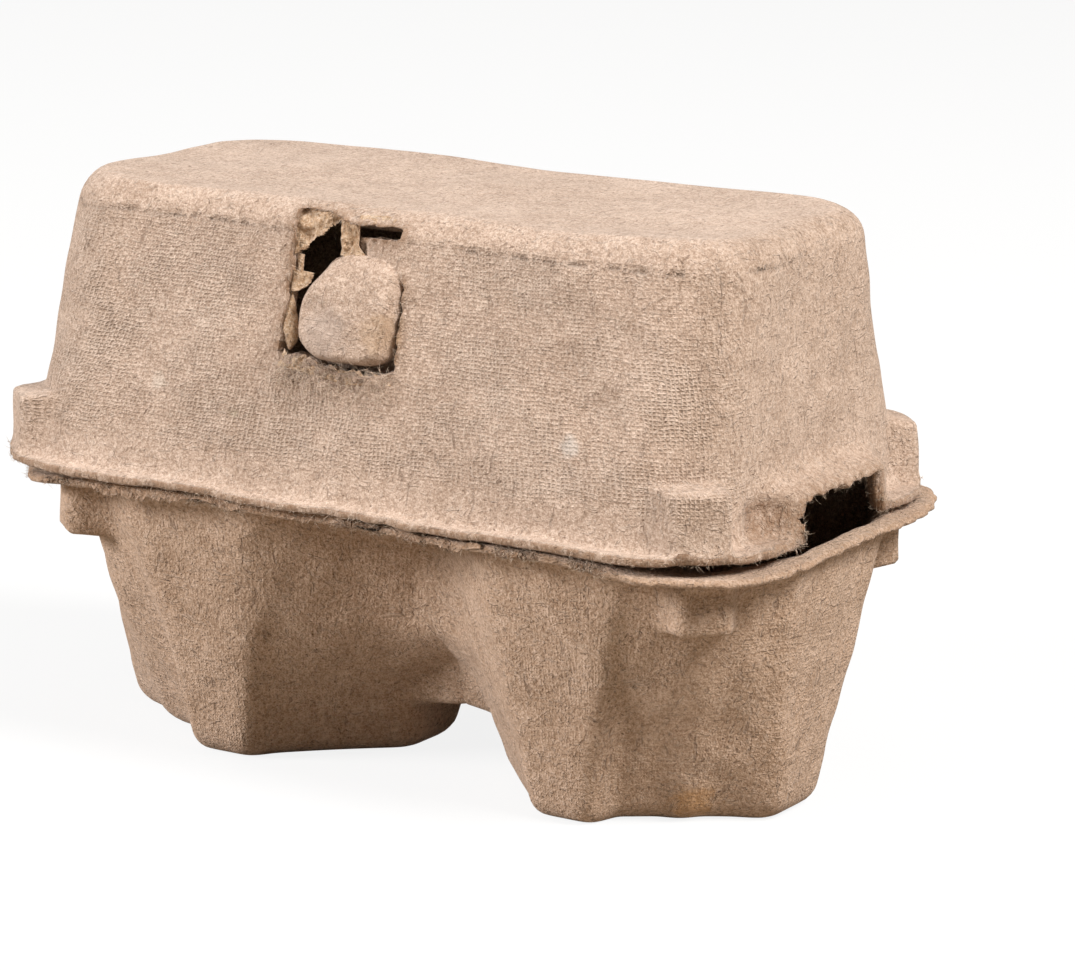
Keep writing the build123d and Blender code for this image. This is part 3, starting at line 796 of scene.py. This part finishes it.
def bendLid(skins, near, belowCrown):
    # undulation of the moulding, pulp thrown up under and round the window, the torn place before the right
    # vent, and the tab between slot and button pressed in
    o = skins[0]
    x, y, z = o[..., 0], o[..., 1], o[..., 2]
    scoop = (x > 38) * belowCrown * np.exp(-((y + 13.6) / 3.2) ** 6 - ((z - 35.4) / 2.2) ** 6)
    sill = near["zone"] * np.exp(-((z - 46.6) / 1.5) ** 2) * np.exp(-((x - window["midX"]) / 6.5) ** 4)
    border = near["zone"] * np.exp(-np.clip(near["window"], 0, lid["far"]) / 0.7)
    tab = (y < -15) * (x > -6) * (z > 57) * (1 - step(x, -4.4, 3.6)) * (1 - step(z, 62.3, 63.1))
    bent = []
    for inner, p in enumerate(skins):
        q = p.copy()
        free = step(p[..., 2], 33.5, 37)
        for axis, seed in ((0, 61), (1, 62)):
            q[..., axis] += (0.20 * waves(p, 19, seed) + 0.09 * waves(p, 6.5, seed + 4)) * free
        q[..., 2] += step(p[..., 2], 61, 64.5) * (0.22 * waves(p * (1, 1, 0), 24, 71) - 0.10)
        q[..., 2] += (1 - step(p[..., 2], 34.0, 36.0)) * lipWaves(p)
        if not inner:
            q[..., 1] -= sill * (0.25 + 0.4 * waves(p, 1.7, 81) + 0.3 * waves(p, 0.8, 82))
            q[..., 1] -= border * 0.22 * (0.4 + waves(p, 0.9, 83))
            q[..., 0] -= scoop * (0.8 + 0.35 * waves(p * (1, 1, 0.4), 1.0, 85))
        q[..., 1] += tab * (window["tabIn"] + 0.12 * waves(p, 1.8, 86))
        bent.append(q.reshape(-1, 3))
    return bent, scoop


def lidMasks(o, near, scoop):
    # tear along the openings, in the scoop and on the flange's edge; print of the screen on the walls; and
    # a broken crease line just under the crown of the outer skin, which the material darkens as painted shade
    # in the crack
    y, z = o[..., 1], o[..., 2]
    toWindow, toVent = np.clip(near["window"], 0, lid["far"]), np.clip(near["vent"], 0, lid["far"])
    tear = np.maximum(np.exp(-toWindow / 0.6) * (1 - 0.75 * (z < 49)), np.exp(-toVent / 0.7))
    tear = np.maximum(tear, 0.75 * scoop)
    tear = np.maximum(tear, np.where(np.arange(len(o))[:, None] < 2, 0.8, 0))
    screen = step(z, 36.0, 39.0) * (1 - step(z, 61.0, 63.6)) * (0.15 + 0.85 * step(-y, 14, 25))
    screen = screen * (1 - 0.8 * np.exp(-toWindow / 2.5))
    place = o * (1, 1, 0)
    away = z - lid["creaseZ"] - 0.22 * waves(place, 9, 91)
    crease = np.exp(-(away / 0.2) ** 2) * step(np.abs(waves(place, 8, 93)), 0.0, 0.25)
    crease = (crease * (1 - 0.75 * step(y, -10, 0))).ravel()
    return dict(tear=np.tile(tear.ravel(), 2), screen=np.tile(screen.ravel(), 2),
                crease=np.concatenate([crease, 0 * crease]))


def makeLid():
    # two skins whose cells are dropped where all four corners lie in an opening, joined round every border
    c, s, along = lidDirections()
    skins, flangeRows, wallRows = lidSkins(c, s)
    rows, cols = skins[0].shape[:2]
    near = lidOpenings(skins[0], flangeRows, wallRows)
    hole = (near["window"] < 0) | (near["vent"] < 0)
    quad = cells(rows, cols, True)
    keep = ~hole.ravel()[quad].all(-1)
    touched = np.zeros(rows * cols, bool)
    touched[quad[keep].ravel()] = True
    openHoles(skins, near, touched.reshape(rows, cols) & hole)
    bent, scoop = bendLid(skins, near, np.arange(rows)[:, None] < flangeRows + wallRows)
    # lengths up the sheet are taken on the front wall, clear of window, vents and lugs
    plain = np.argmin(np.abs(c - lid["plainColumn"]) + (s > 0))
    uv = cellUv(along, runLength(skins[0][:, plain]), True)
    faces = [quad[keep][:, ::-1], quad[keep] + rows * cols]
    uvs = [uv[keep][:, ::-1], uv[keep]]
    # rim: each side of a kept cell whose neighbour is missing, joined across the thickness; the crown's
    # last row has none, because it closes on itself
    kept = np.pad(keep, ((1, 1), (0, 0)))
    kept[-1] = True
    sides = [(kept[:-2], 0, 1), (kept[2:], 2, 3), (np.roll(keep, -1, 1), 1, 2), (np.roll(keep, 1, 1), 3, 0)]
    for neighbour, i, j in sides:
        at = keep & ~neighbour
        a, b = quad[at][:, i], quad[at][:, j]
        faces.append(np.stack([a, b, b + rows * cols, a + rows * cols], -1))
        uvs.append(np.zeros((len(a), 4, 2)))
    return piece("lid_shell", np.vstack(bent), np.vstack(faces), np.vstack(uvs), lidPulp,
                 lidMasks(skins[0], near, scoop))


lidShell = makeLid()
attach(lidShell, "lid")
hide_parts("lid")
print("lid", sum(len(q.vertices) - 2 for q in lidShell.data.polygons))

# latch flap: the tongue is drawn in at both sides and set back where it shows in the window
latch = dict(x0=-9.3, x1=4.7, z0=32.5, z1=59.2, back=1.95, thick=1.3, drawIn=(36.0, 48.0), drawLeft=1.4,
             drawRight=0.8, setBack=1.1, endRound=3.0)
buttonForm = dict(x0=-8.1, x1=4.15, z0=48.35, z1=59.8, out=1.75, seat=1.0, columns=160, outlinePower=4.4,
                  facePower=4.2, faceInset=1.4, faceHalf=3.3, faceUp=4.5, cornerX=-1.8, upperIn=2.7,
                  lowerIn=1.0)


def flapY(z, back):
    # the front wall's own line, with the circle of the crown's edge above it, moved back
    r = lid["crownRound"]
    up = np.clip(z - carton["height"] + r, 0, r)
    return frontFace(z) + r - np.sqrt(r * r - up * up) + back


def slab(name, front, rear, material, size, masks=None):
    # two grids of the same shape, one behind the other, closed round their border
    rows, cols = front.shape[:2]
    n = rows * cols
    quad = cells(rows, cols, False).reshape(-1, 4)
    uv = cellUv(np.linspace(0, size[0], cols), np.linspace(0, size[1], rows), False).reshape(-1, 4, 2)
    right, left = np.arange(1, rows) * cols + cols - 1, np.arange(rows - 2, 0, -1) * cols
    ring = np.concatenate([np.arange(cols), right, (rows - 1) * cols + np.arange(cols - 2, -1, -1), left])
    nxt = np.roll(ring, -1)
    rim = np.stack([ring, ring + n, nxt + n, nxt], -1)
    p = np.stack([front, rear])
    masks = {k: (v + 0 * p[..., 0]).ravel() for k, v in (masks or dict(tear=0.0, screen=0.3)).items()}
    return piece(name, p.reshape(-1, 3), np.vstack([quad, quad[:, ::-1] + n, rim]),
                 np.vstack([uv, uv[:, ::-1], np.zeros((len(rim), 4, 2))]), material, masks)


def makeTongue():
    # flat strip behind the lid's front wall, with a rounded upper end
    u, v = np.linspace(0, 1, 33)[None], np.linspace(0, 1, 71)[:, None]
    z = latch["z0"] + (latch["z1"] - latch["z0"]) * v + 0 * u
    seen, r = step(z, *latch["drawIn"]), latch["endRound"]
    end = r - np.sqrt(np.maximum(r * r - np.maximum(r - (latch["z1"] - z), 0) ** 2, 0))
    x0 = latch["x0"] + latch["drawLeft"] * seen + end
    x1 = latch["x1"] - latch["drawRight"] * seen - end
    x = x0 + (x1 - x0) * u + 0.1 * np.sin(17 * v + 3) * (2 * u - 1)
    front = latch["back"] + latch["setBack"] * seen
    skins = []
    for back in (front, front + latch["thick"]):
        p = np.stack([x, flapY(z, back), z], -1)
        p[..., 1] += 0.06 * waves(p, 4, 91)
        skins.append(p)
    return slab("latch_tongue", *skins, lidPulp, (14, 30))


def makeButton():
    # pressed button: rings go from a rounded outline on the tongue to a smaller face that sits lower,
    # height by a quarter circle; the upper side leans back much further than the others
    form = buttonForm
    t = np.linspace(0, 2 * np.pi, form["columns"], endpoint=False)[None]
    c, s = np.cos(t), np.sin(t)
    midX, halfX = (form["x0"] + form["x1"]) / 2, (form["x1"] - form["x0"]) / 2
    midZ, halfZ = (form["z0"] + form["z1"]) / 2, (form["z1"] - form["z0"]) / 2
    lift = latch["back"] + form["out"] + form["seat"]

    def outline(x, z, a, b, power):
        r = (np.abs(c / a) ** power + np.abs(s / b) ** power) ** (-1 / power)
        return x + r * c, z + r * s

    bx, bz = outline(midX, midZ, halfX, halfZ, form["outlinePower"])
    # the upper left corner is pressed in, and the lower left one a little
    bx = bx + form["upperIn"] * step(bz, 54.6, 60.0) * step(form["cornerX"] - bx, 0, 5)
    bx = bx + form["lowerIn"] * step(-bz, -52.0, -48.3) * step(form["cornerX"] - bx, 2.5, 6)
    fx, fz = outline(midX, form["z0"] + form["faceUp"], halfX - form["faceInset"], form["faceHalf"],
                     form["facePower"])
    fz = fz + 0.10 * (fx + 2) * step(fz, 52, 56)
    # side rings: straight out for the first half, then over the bevel
    k = np.concatenate([np.linspace(0, 0.5, 10)[:-1], 0.5 + 0.5 * np.linspace(0, 1, 17)])[:, None]
    a = np.clip((k - 0.5) / 0.5, 0, 1) * np.pi / 2
    g = 0.35 * (1 - np.cos(a)) + 0.65 * a * 2 / np.pi
    h = np.clip(k / 0.5, 0, 1) * 0.55 * lift + np.sin(a) * 0.45 * lift
    # behind them the closed back, in front the face, each drawn in to the middle
    backShare = np.append(np.linspace(0, 0.9, 7), 0.97)[:, None]
    backH = np.array([-1.7, -1.7, -1.7, -1.7, -1.7, -1.65, -1.5, -1.0])[:, None]
    face = np.linspace(0, 1, 16)[1:, None]
    mx, mz = fx.mean(), fz.mean()
    x = np.vstack([mx + (bx - mx) * backShare, bx + (fx - bx) * g, fx + (mx - fx) * face])
    z = np.vstack([mz + (bz - mz) * backShare, bz + (fz - bz) * g, fz + (mz - fz) * face])
    h = np.vstack([backH + 0 * c, h + 0 * c, lift + 0.15 * np.sin(face * np.pi / 2) + 0 * c])
    p = np.stack([x, flapY(z, latch["back"] + form["seat"]) - h, z + h * 0.04], -1)
    raised = np.clip(h / lift, 0, 1)
    p[..., 1] += (0.12 * waves(p, 5, 95) + 0.05 * waves(p, 1.8, 97)) * raised
    p[..., 0] += 0.10 * waves(p, 4, 96)
    quad = cells(len(p), form["columns"], True).reshape(-1, 4)
    uv = cellUv(np.linspace(0, 40, form["columns"] + 1), runLength(p[:, 0]), True).reshape(-1, 4, 2)
    # the tear mask here browns the button towards its foot and its back, where it meets the tongue: painted
    # shade in that corner
    return piece("latch_button", p.reshape(-1, 3), quad, uv, lidPulp,
                 {"tear": (0.3 * (1 - raised)).ravel(), "screen": 0.2 + 0 * h.ravel()})


# torn pulp round the window: root line and tip line of each piece, as x, z and depth behind the wall's face
tornBits = dict(
    membrane=([(-10.6, 59.2, 0.7), (-10.7, 61.5, 0.5), (-10.6, 63.8, 0.3), (-9.4, 64.2, 0.25),
               (-7.4, 64.1, 0.25), (-5.2, 63.6, 0.3)],
              [(-10.1, 59.2, 0.95), (-9.4, 59.9, 0.95), (-8.4, 60.8, 0.9), (-6.9, 61.9, 0.8),
               (-5.6, 63.0, 0.6), (-5.1, 63.2, 0.5)]),
    flap=([(-10.4, 57.5, 0.7), (-10.4, 56.4, 0.7), (-10.4, 55.2, 0.7)],
          [(-8.0, 57.3, 1.0), (-8.2, 56.2, 1.0), (-9.5, 55.2, 1.0)]),
    thread=([(-10.3, 59.2, 1.0), (-9.5, 59.1, 1.0)], [(-9.8, 57.2, 0.9), (-9.3, 57.2, 0.9)]),
    web=([(-5.3, 63.6, 0.3), (-4.2, 63.6, 0.2), (-2.6, 63.3, 0.3)],
         [(-4.9, 59.5, 0.75), (-3.2, 59.3, 0.55), (-1.2, 59.7, 0.7)]),
    brow=([(-2.9, 64.0, 0.0), (0.5, 64.2, 0.0), (3.9, 63.6, 0.1)],
          [(-2.7, 63.3, 0.1), (0.5, 63.4, 0.05), (3.7, 63.1, 0.2)]),
    sill=([(-10.2, 47.4, -0.2), (-6.0, 47.0, -0.3), (-1.0, 46.4, -0.3), (4.6, 46.9, -0.2)],
          [(-10.0, 48.8, 0.3), (-6.2, 48.5, 0.3), (-4.4, 47.9, 0.3), (0.2, 47.7, 0.3), (2.0, 47.6, 0.3),
           (4.5, 48.4, 0.2)]))
# how ragged and how crumpled each is, its seed, and how far its middle is drawn in
shredForms = dict(membrane=(0.35, 0.28, 131, 0.0), flap=(0.18, 0.12, 133, 0.0), thread=(0.05, 0.05, 135, 0.0),
                  web=(0.2, 0.34, 137, 0.3), brow=(0.12, 0.1, 139, 0.0), sill=(0.45, 0.3, 141, 0.0))
roll = dict(line=[(-10.2, 55.2, 0.9), (-10.1, 52.8, 0.9), (-9.6, 50.6, 0.9), (-9.5, 49.0, 0.9)], rings=44,
            columns=20, thin=0.08, swell=0.85)


def resample(line, n):
    # n even steps along a line of corners
    line = np.array(line, float)
    d = runLength(line)
    return np.stack([np.interp(np.linspace(0, d[-1], n), d, line[:, k]) for k in range(line.shape[1])], -1)


def shred(name, ragged, crumple, seed, waist):
    # thin torn sheet: straight lines from a root line to a ragged tip line, crumpled, thinner at the tip
    cols, rows = 48, 22
    root, tip = (resample(line, cols) for line in tornBits[name])
    rng = np.random.default_rng(seed)
    jag = ragged * (1.6 * blur(rng.uniform(-1, 1, cols), 1.5, 0, False) + 0.5 * rng.uniform(-1, 1, cols))
    way = tip - root
    tip = tip + way / np.linalg.norm(way, axis=1, keepdims=True) * jag[:, None]
    w = np.linspace(0, 1, rows)[:, None]
    p = root * (1 - w[..., None]) + tip * w[..., None]
    middle = p.mean(1, keepdims=True)
    p = middle + (p - middle) * (1 - waist * np.sin(w[..., None] * np.pi))
    x, z, depth = p[..., 0], p[..., 1], p[..., 2]
    at = np.stack([x, 0 * x, z], -1)
    folds = waves(at, 2.2, seed) + 0.5 * waves(at, 0.9, seed + 1)
    depth = depth + crumple * folds * np.sin(w * np.pi * 0.75)
    front, rear = (np.stack([x, flapY(z, d), z], -1) for d in (depth, depth + 0.22 - 0.14 * w))
    tear = (0.32 + 0.3 * (1 - w) ** 2 + 0.2 * waves(at, 2.0, seed + 5)) * (name != "sill")
    return slab("torn_" + name, front, rear, tornPulp, (5, 5), dict(tear=tear, screen=0.0))


def makeRoll():
    # crushed roll down the lower left of the window: circle along a line, its radius swelling in the middle
    line = resample(roll["line"], roll["rings"])
    t = np.linspace(0, 2 * np.pi, roll["columns"], endpoint=False)[None]
    k = np.linspace(0, 1, roll["rings"])[:, None]
    r = roll["thin"] + roll["swell"] * np.sin(np.pi * k ** 1.5) ** 0.7
    x, z = line[:, :1] + r * np.cos(t), line[:, 1:2] + 0 * t
    p = np.stack([x, flapY(z, line[:, 2:3]) + r * 0.8 * np.sin(t), z], -1)
    outwards = np.stack([np.cos(t) + 0 * k, np.sin(t) + 0 * k, 0 * t + 0 * k], -1)
    p += 0.09 * waves(p, 1.6, 121)[..., None] * outwards
    quad = cells(*p.shape[:2], True).reshape(-1, 4)
    none = 0 * p[..., 0].ravel()
    return piece("torn_roll", p.reshape(-1, 3), quad, np.zeros((len(quad), 4, 2)), tornPulp,
                 {"tear": 0.55 + none, "screen": none})


def hairs(name, root, way, length, radius, seed):
    # loose fibres: centre line root + way s + curl s^2, three-sided, thin at both ends
    rng = np.random.default_rng(seed)
    n, rings = len(root), 7
    way = way / (np.linalg.norm(way, axis=1, keepdims=True) + 1e-9) * length[:, None]
    curl = rng.normal(size=(n, 3)) * length[:, None] * 0.5
    s = np.linspace(0, 1, rings)[None, :, None]
    middle = root[:, None] + way[:, None] * s + curl[:, None] * s * s
    side = np.cross(way, rng.normal(size=(n, 3)))
    side /= np.linalg.norm(side, axis=1, keepdims=True) + 1e-9
    up = np.cross(way, side)
    up /= np.linalg.norm(up, axis=1, keepdims=True) + 1e-9
    turn = (np.arange(3) * 2 * np.pi / 3)[None, None, :, None]
    ring = side[:, None, None] * np.cos(turn) + up[:, None, None] * np.sin(turn)
    fat = radius[:, None, None, None] * np.array([0, 1, 1, 0.9, 0.75, 0.5, 0])[None, :, None, None]
    p = middle[:, :, None] + ring * fat
    base = np.arange(n)[:, None, None] * rings * 3
    i, j = np.arange(rings - 1)[None, :, None], np.arange(3)[None, None]
    k = (j + 1) % 3
    low, high = base + i * 3, base + i * 3 + 3
    quad = np.stack([low + j, low + k, high + k, high + j], -1).reshape(-1, 4)
    none = np.zeros(n * rings * 3)
    return piece(name, p.reshape(-1, 3), quad, np.zeros((len(quad), 4, 2)), hairPulp,
                 {"tear": none + 0.1, "screen": none}, weld=0.0005)


def hairsFrom(obj, name, count, low, reach, seed, lean, chosen=None):
    # loose fibres rooted on the torn points of a piece, where its tear mask is above low
    mesh = obj.data
    p, nrm, tear = (np.empty(len(mesh.vertices) * k) for k in (3, 3, 1))
    mesh.vertices.foreach_get("co", p)
    mesh.vertices.foreach_get("normal", nrm)
    mesh.attributes["tear"].data.foreach_get("value", tear)
    p, nrm = p.reshape(-1, 3) * 1000, nrm.reshape(-1, 3)
    rng = np.random.default_rng(seed)
    torn = tear > low
    pick = rng.choice(np.flatnonzero(torn & chosen(*p.T) if chosen else torn), count)
    length = reach[0] + (reach[1] - reach[0]) * rng.random(count) ** 3
    way = nrm[pick] * lean + rng.normal(size=(count, 3)) * 0.55
    root = p[pick] + rng.normal(size=(count, 3)) * 0.08
    return hairs(name, root, way, length, rng.uniform(0.012, 0.028, count), seed)


def sillHairs(n):
    # loose fibres under the window, densest at its lower edge
    rng = np.random.default_rng(151)
    x, z = rng.uniform(-9.8, 4.6, n), 48.2 - np.abs(rng.normal(size=n)) * 1.7
    root = np.stack([x, frontFace(z) - 0.35, z], -1)
    way = np.stack([rng.normal(size=n), -0.35 - 0.3 * rng.random(n), rng.normal(size=n) - 0.2], -1)
    return hairs("fibres_sill", root, way, 0.3 + 1.3 * rng.random(n) ** 2, rng.uniform(0.014, 0.03, n), 152)


def nearWindow(x, y, z):
    return (np.abs(x - window["midX"]) < 9) & (y < -15) & (z > 46) & ((z < 61) | (x < -4))


def nearVents(x, y, z):
    return (np.abs(y - carton["cellY"]) < 13) & (np.abs(x - carton["lidX"]) > 40) & (z < 39)


def onFlange(x, y, z):
    return z < 34.2


# torn flange edge of the tray: from its left end to its right, how far it hangs and how thick it is
ragged = dict(left=-36, right=19, columns=260, rows=9, least=0.15, hang=0.75, jag=0.55, thick=0.14)


def makeTornEdge():
    # ragged lip of the tray's front flange: sheet from the flange's edge down to a jagged line
    x = np.linspace(ragged["left"], ragged["right"], ragged["columns"])[None]
    w = np.linspace(0, 1, ragged["rows"])[:, None]
    rng = np.random.default_rng(163)
    place = np.stack([x, 0 * x - 30, 0 * x], -1)
    much = step(waves(place, 8, 164), -0.5, 0.7) * step(x, -36, -33) * (1 - step(x, 14, 19))
    jag = blur(rng.uniform(-1, 1, x.shape), 1.2, 1, False) + 0.5 * rng.uniform(-1, 1, x.shape)
    hang = ragged["least"] + much * (ragged["hang"] + ragged["jag"] * jag)
    y = carton["cellY"] - carton["halfY"] + 0.45 + frontRecess(x - carton["trayX"]) - w * (0.25 + 0.45 * much)
    z = carton["trayTop"] - 0.1 - hang * w + 0.35 * step(waves(place, 5, 168), -0.1, 0.5) * (1 - w)
    p = np.stack([x + 0 * w, y, z], -1)
    y = y + much * (0.16 * waves(p, 1.3, 165) + 0.08 * waves(p, 0.6, 166)) * np.sqrt(w)
    front, rear = (bendTray(np.stack([x + 0 * w, y + d, z], -1)) for d in (0, ragged["thick"]))
    tear = 0.8 + 0.2 * step(waves(place, 4, 167), -0.2, 0.8) - 0.25 * w
    return slab("torn_tray_edge", front, rear, shadedTrayPulp, (55, 2), dict(tear=tear, screen=0.0))


tongue, button = makeTongue(), makeButton()
for part in (tongue, button):
    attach(part, "latch_flap")
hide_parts("latch_flap")
tornParts = [shred(name, *form) for name, form in shredForms.items()] + [makeRoll(), sillHairs(900)]
tornParts += [hairsFrom(lidShell, "fibres_window", 520, 0.55, (0.3, 1.3), 153, 0.4, nearWindow),
              hairsFrom(lidShell, "fibres_vents", 1300, 0.5, (0.2, 1.1), 155, 0.4, nearVents),
              hairsFrom(lidShell, "fibres_lid_edge", 2000, 0.7, (0.15, 0.9), 157, 0.5, onFlange)]
for part in tornParts:
    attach(part, "lid")
tornEdge = makeTornEdge()
for part in (tornEdge, hairsFrom(trayShell, "fibres_tray_edge", 1600, 0.6, (0.15, 0.9), 161, 0.5),
             hairsFrom(tornEdge, "fibres_torn_edge", 900, 0.1, (0.15, 1.1), 169, 0.5)):
    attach(part, "tray")
print("latch and torn pulp built")

# hinge fold: Y and Z of its flat ends at tray and lid, and the arc between them
foldForm = dict(arcY=28.3, arcZ=32.35, outerArc=(1.7, 1.4), innerArc=(0.5, 0.13), columns=170,
                outerTray=[(25.7, 31.4), (26.3, 30.96), (27.3, 30.95)],
                outerLid=[(27.3, 33.75), (26.3, 33.74), (25.7, 33.3)],
                innerTray=[(25.7, 31.8), (26.3, 32.2), (27.3, 32.22)],
                innerLid=[(27.3, 32.48), (26.3, 32.5), (25.7, 32.9)])


def makeFold():
    # U section carried along X: outer and inner lines of Y and Z, each with an arc of an ellipse
    form = foldForm
    arc = [np.linspace(a, b, n) for a, b, n in ((-1, -0.12, 9), (-0.08, 0.08, 7), (0.12, 1, 9))]
    arc = np.concatenate(arc) * np.pi / 2
    x = np.linspace(-carton["foldHalf"], carton["foldHalf"], form["columns"])[None]
    grids = []
    for skin in ("inner", "outer"):
        a, b = form[skin + "Arc"]
        middle = np.stack([form["arcY"] + a * np.cos(arc), form["arcZ"] + b * np.sin(arc)], -1)
        line = np.concatenate([form[skin + "Tray"], middle, form[skin + "Lid"]])
        y, z = line[:, :1], line[:, 1:2]
        p = np.stack([x + 0 * y, y + 0 * x, z + 0 * x], -1)
        q = p.copy()
        along = p * (1, 0, 0)
        q[..., 1] += (0.09 * waves(along, 7, 171) + 0.04 * waves(along, 2.0, 172)) * step(y, 28.0, 28.5)
        q[..., 1] -= 0.25 * step(y, 27.5, 28.3)
        # no rise or fall near the crease, which stays level
        q[..., 2] += lipWaves(p) * (1 - step(y, 26.4, 27.6)) * step(np.abs(z - form["arcZ"]), 0.3, 0.8)
        grids.append(q)
    crease = np.exp(-((z - form["arcZ"]) / 0.5) ** 2) + 0 * x      # z is the outer line's, the last one made
    return slab("hinge_fold", *grids, shadedTrayPulp, (76, 8), dict(tear=0.45 * crease, screen=0.15))


fold = makeFold()
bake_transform(fold)
print("fold built")


# floor, light and camera; colours are linear, places are metres
studio = dict(floorHalf=3, floorLight=(0.36, 0.31, 0.25, 1), floorSeen=(0.9, 0.9, 0.9, 1), floorWhite=0.86,
              sky=(1.0, 0.88, 0.74, 1), skyStrength=0.12, aim=(0, 0, 0.03),
              lamps=[("front left", (-0.787, -0.787, 0.48), 0.40, 15.8, (1, 1, 1)),
                     ("right", (0.80, -0.07, 0.84), 0.45, 17.5, (1, 0.985, 0.955)),
                     ("over", (0.10, -0.10, 1.0), 0.7, 1.3, (1, 0.96, 0.88))])
view = dict(azimuth=31.83, elevation=12.97, roll=0.91, distance=0.5039, lens=149.7, sensor=36.0,
            right=0.01368, up=-0.00182, aim=(0.001, -0.0015, 0.032))


def rayKinds(tree):
    # 1 for rays straight from the camera, and 1 for those and mirrored or transmitted ones
    path = add(tree, "ShaderNodeLightPath").outputs
    passed = calc(tree, "MAXIMUM", path["Is Glossy Ray"], path["Is Transmission Ray"])
    return path["Is Camera Ray"], calc(tree, "MAXIMUM", path["Is Camera Ray"], passed)


def makeFloor():
    h = studio["floorHalf"]
    mesh = bpy.data.meshes.new("floor")
    mesh.from_pydata([(-h, -h, 0), (h, -h, 0), (h, h, 0), (-h, h, 0)], [], [(0, 1, 2, 3)])
    floor = bpy.data.objects.new("floor", mesh)
    bpy.context.scene.collection.objects.link(floor)
    mat = bpy.data.materials.new("paleFloor")
    mat.use_nodes = True
    t = mat.node_tree
    t.nodes.clear()
    straight, seen = rayKinds(t)
    paint = mixColour(t, straight, studio["floorLight"], studio["floorSeen"])
    matt = add(t, "ShaderNodeBsdfDiffuse", {"Color": paint})
    white = add(t, "ShaderNodeEmission", {"Color": (1, 1, 1, 1), "Strength": 1.0})
    share = calc(t, "MULTIPLY", seen, studio["floorWhite"])
    mix = add(t, "ShaderNodeMixShader", {0: share, 1: matt.outputs[0], 2: white.outputs[0]})
    add(t, "ShaderNodeOutputMaterial", {"Surface": mix.outputs[0]})
    mesh.materials.append(mat)


def makeSky():
    world = bpy.data.worlds.new("studio")
    bpy.context.scene.world = world
    world.use_nodes = True
    t = world.node_tree
    t.nodes.clear()
    soft = add(t, "ShaderNodeBackground", {"Color": studio["sky"], "Strength": studio["skyStrength"]})
    plain = add(t, "ShaderNodeBackground", {"Color": (1, 1, 1, 1), "Strength": 1.0})
    mix = add(t, "ShaderNodeMixShader", {0: rayKinds(t)[1], 1: soft.outputs[0], 2: plain.outputs[0]})
    add(t, "ShaderNodeOutputWorld", {"Surface": mix.outputs[0]})


def areaLamp(name, place, size, power, colour):
    data = bpy.data.lights.new(name, "AREA")
    data.shape, data.size, data.energy, data.color = "DISK", size, power, colour
    lamp = bpy.data.objects.new(name, data)
    lamp.location = place
    lamp.rotation_euler = (Vector(studio["aim"]) - Vector(place)).to_track_quat("-Z", "Y").to_euler()
    bpy.context.scene.collection.objects.link(lamp)


def makeCamera():
    # looks along the photo's line of sight; right and up move the picture's middle off the aim
    az, el, roll = (math.radians(view[k]) for k in ("azimuth", "elevation", "roll"))
    back = Vector((math.sin(az) * math.cos(el), -math.cos(az) * math.cos(el), math.sin(el)))
    level = Vector((math.cos(az), math.sin(az), 0))
    upright = back.cross(level)
    right = level * math.cos(roll) + upright * math.sin(roll)
    up = upright * math.cos(roll) - level * math.sin(roll)
    ahead = (-back + right * view["right"] + up * view["up"]).normalized()
    side = ahead.cross(up).normalized()
    top = side.cross(ahead)
    data = bpy.data.cameras.new("camera")
    data.lens, data.sensor_width, data.clip_start, data.clip_end = view["lens"], view["sensor"], 0.01, 20.0
    cam = bpy.data.objects.new("camera", data)
    place = Vector(view["aim"]) + back * view["distance"]
    cam.matrix_world = Matrix.Translation(place) @ Matrix((side, top, -ahead)).transposed().to_4x4()
    bpy.context.scene.collection.objects.link(cam)
    bpy.context.scene.camera = cam


makeFloor()
makeSky()
for lamp in studio["lamps"]:
    areaLamp(*lamp)
makeCamera()
bpy.context.scene.view_settings.view_transform = "Standard"
print("stage built")
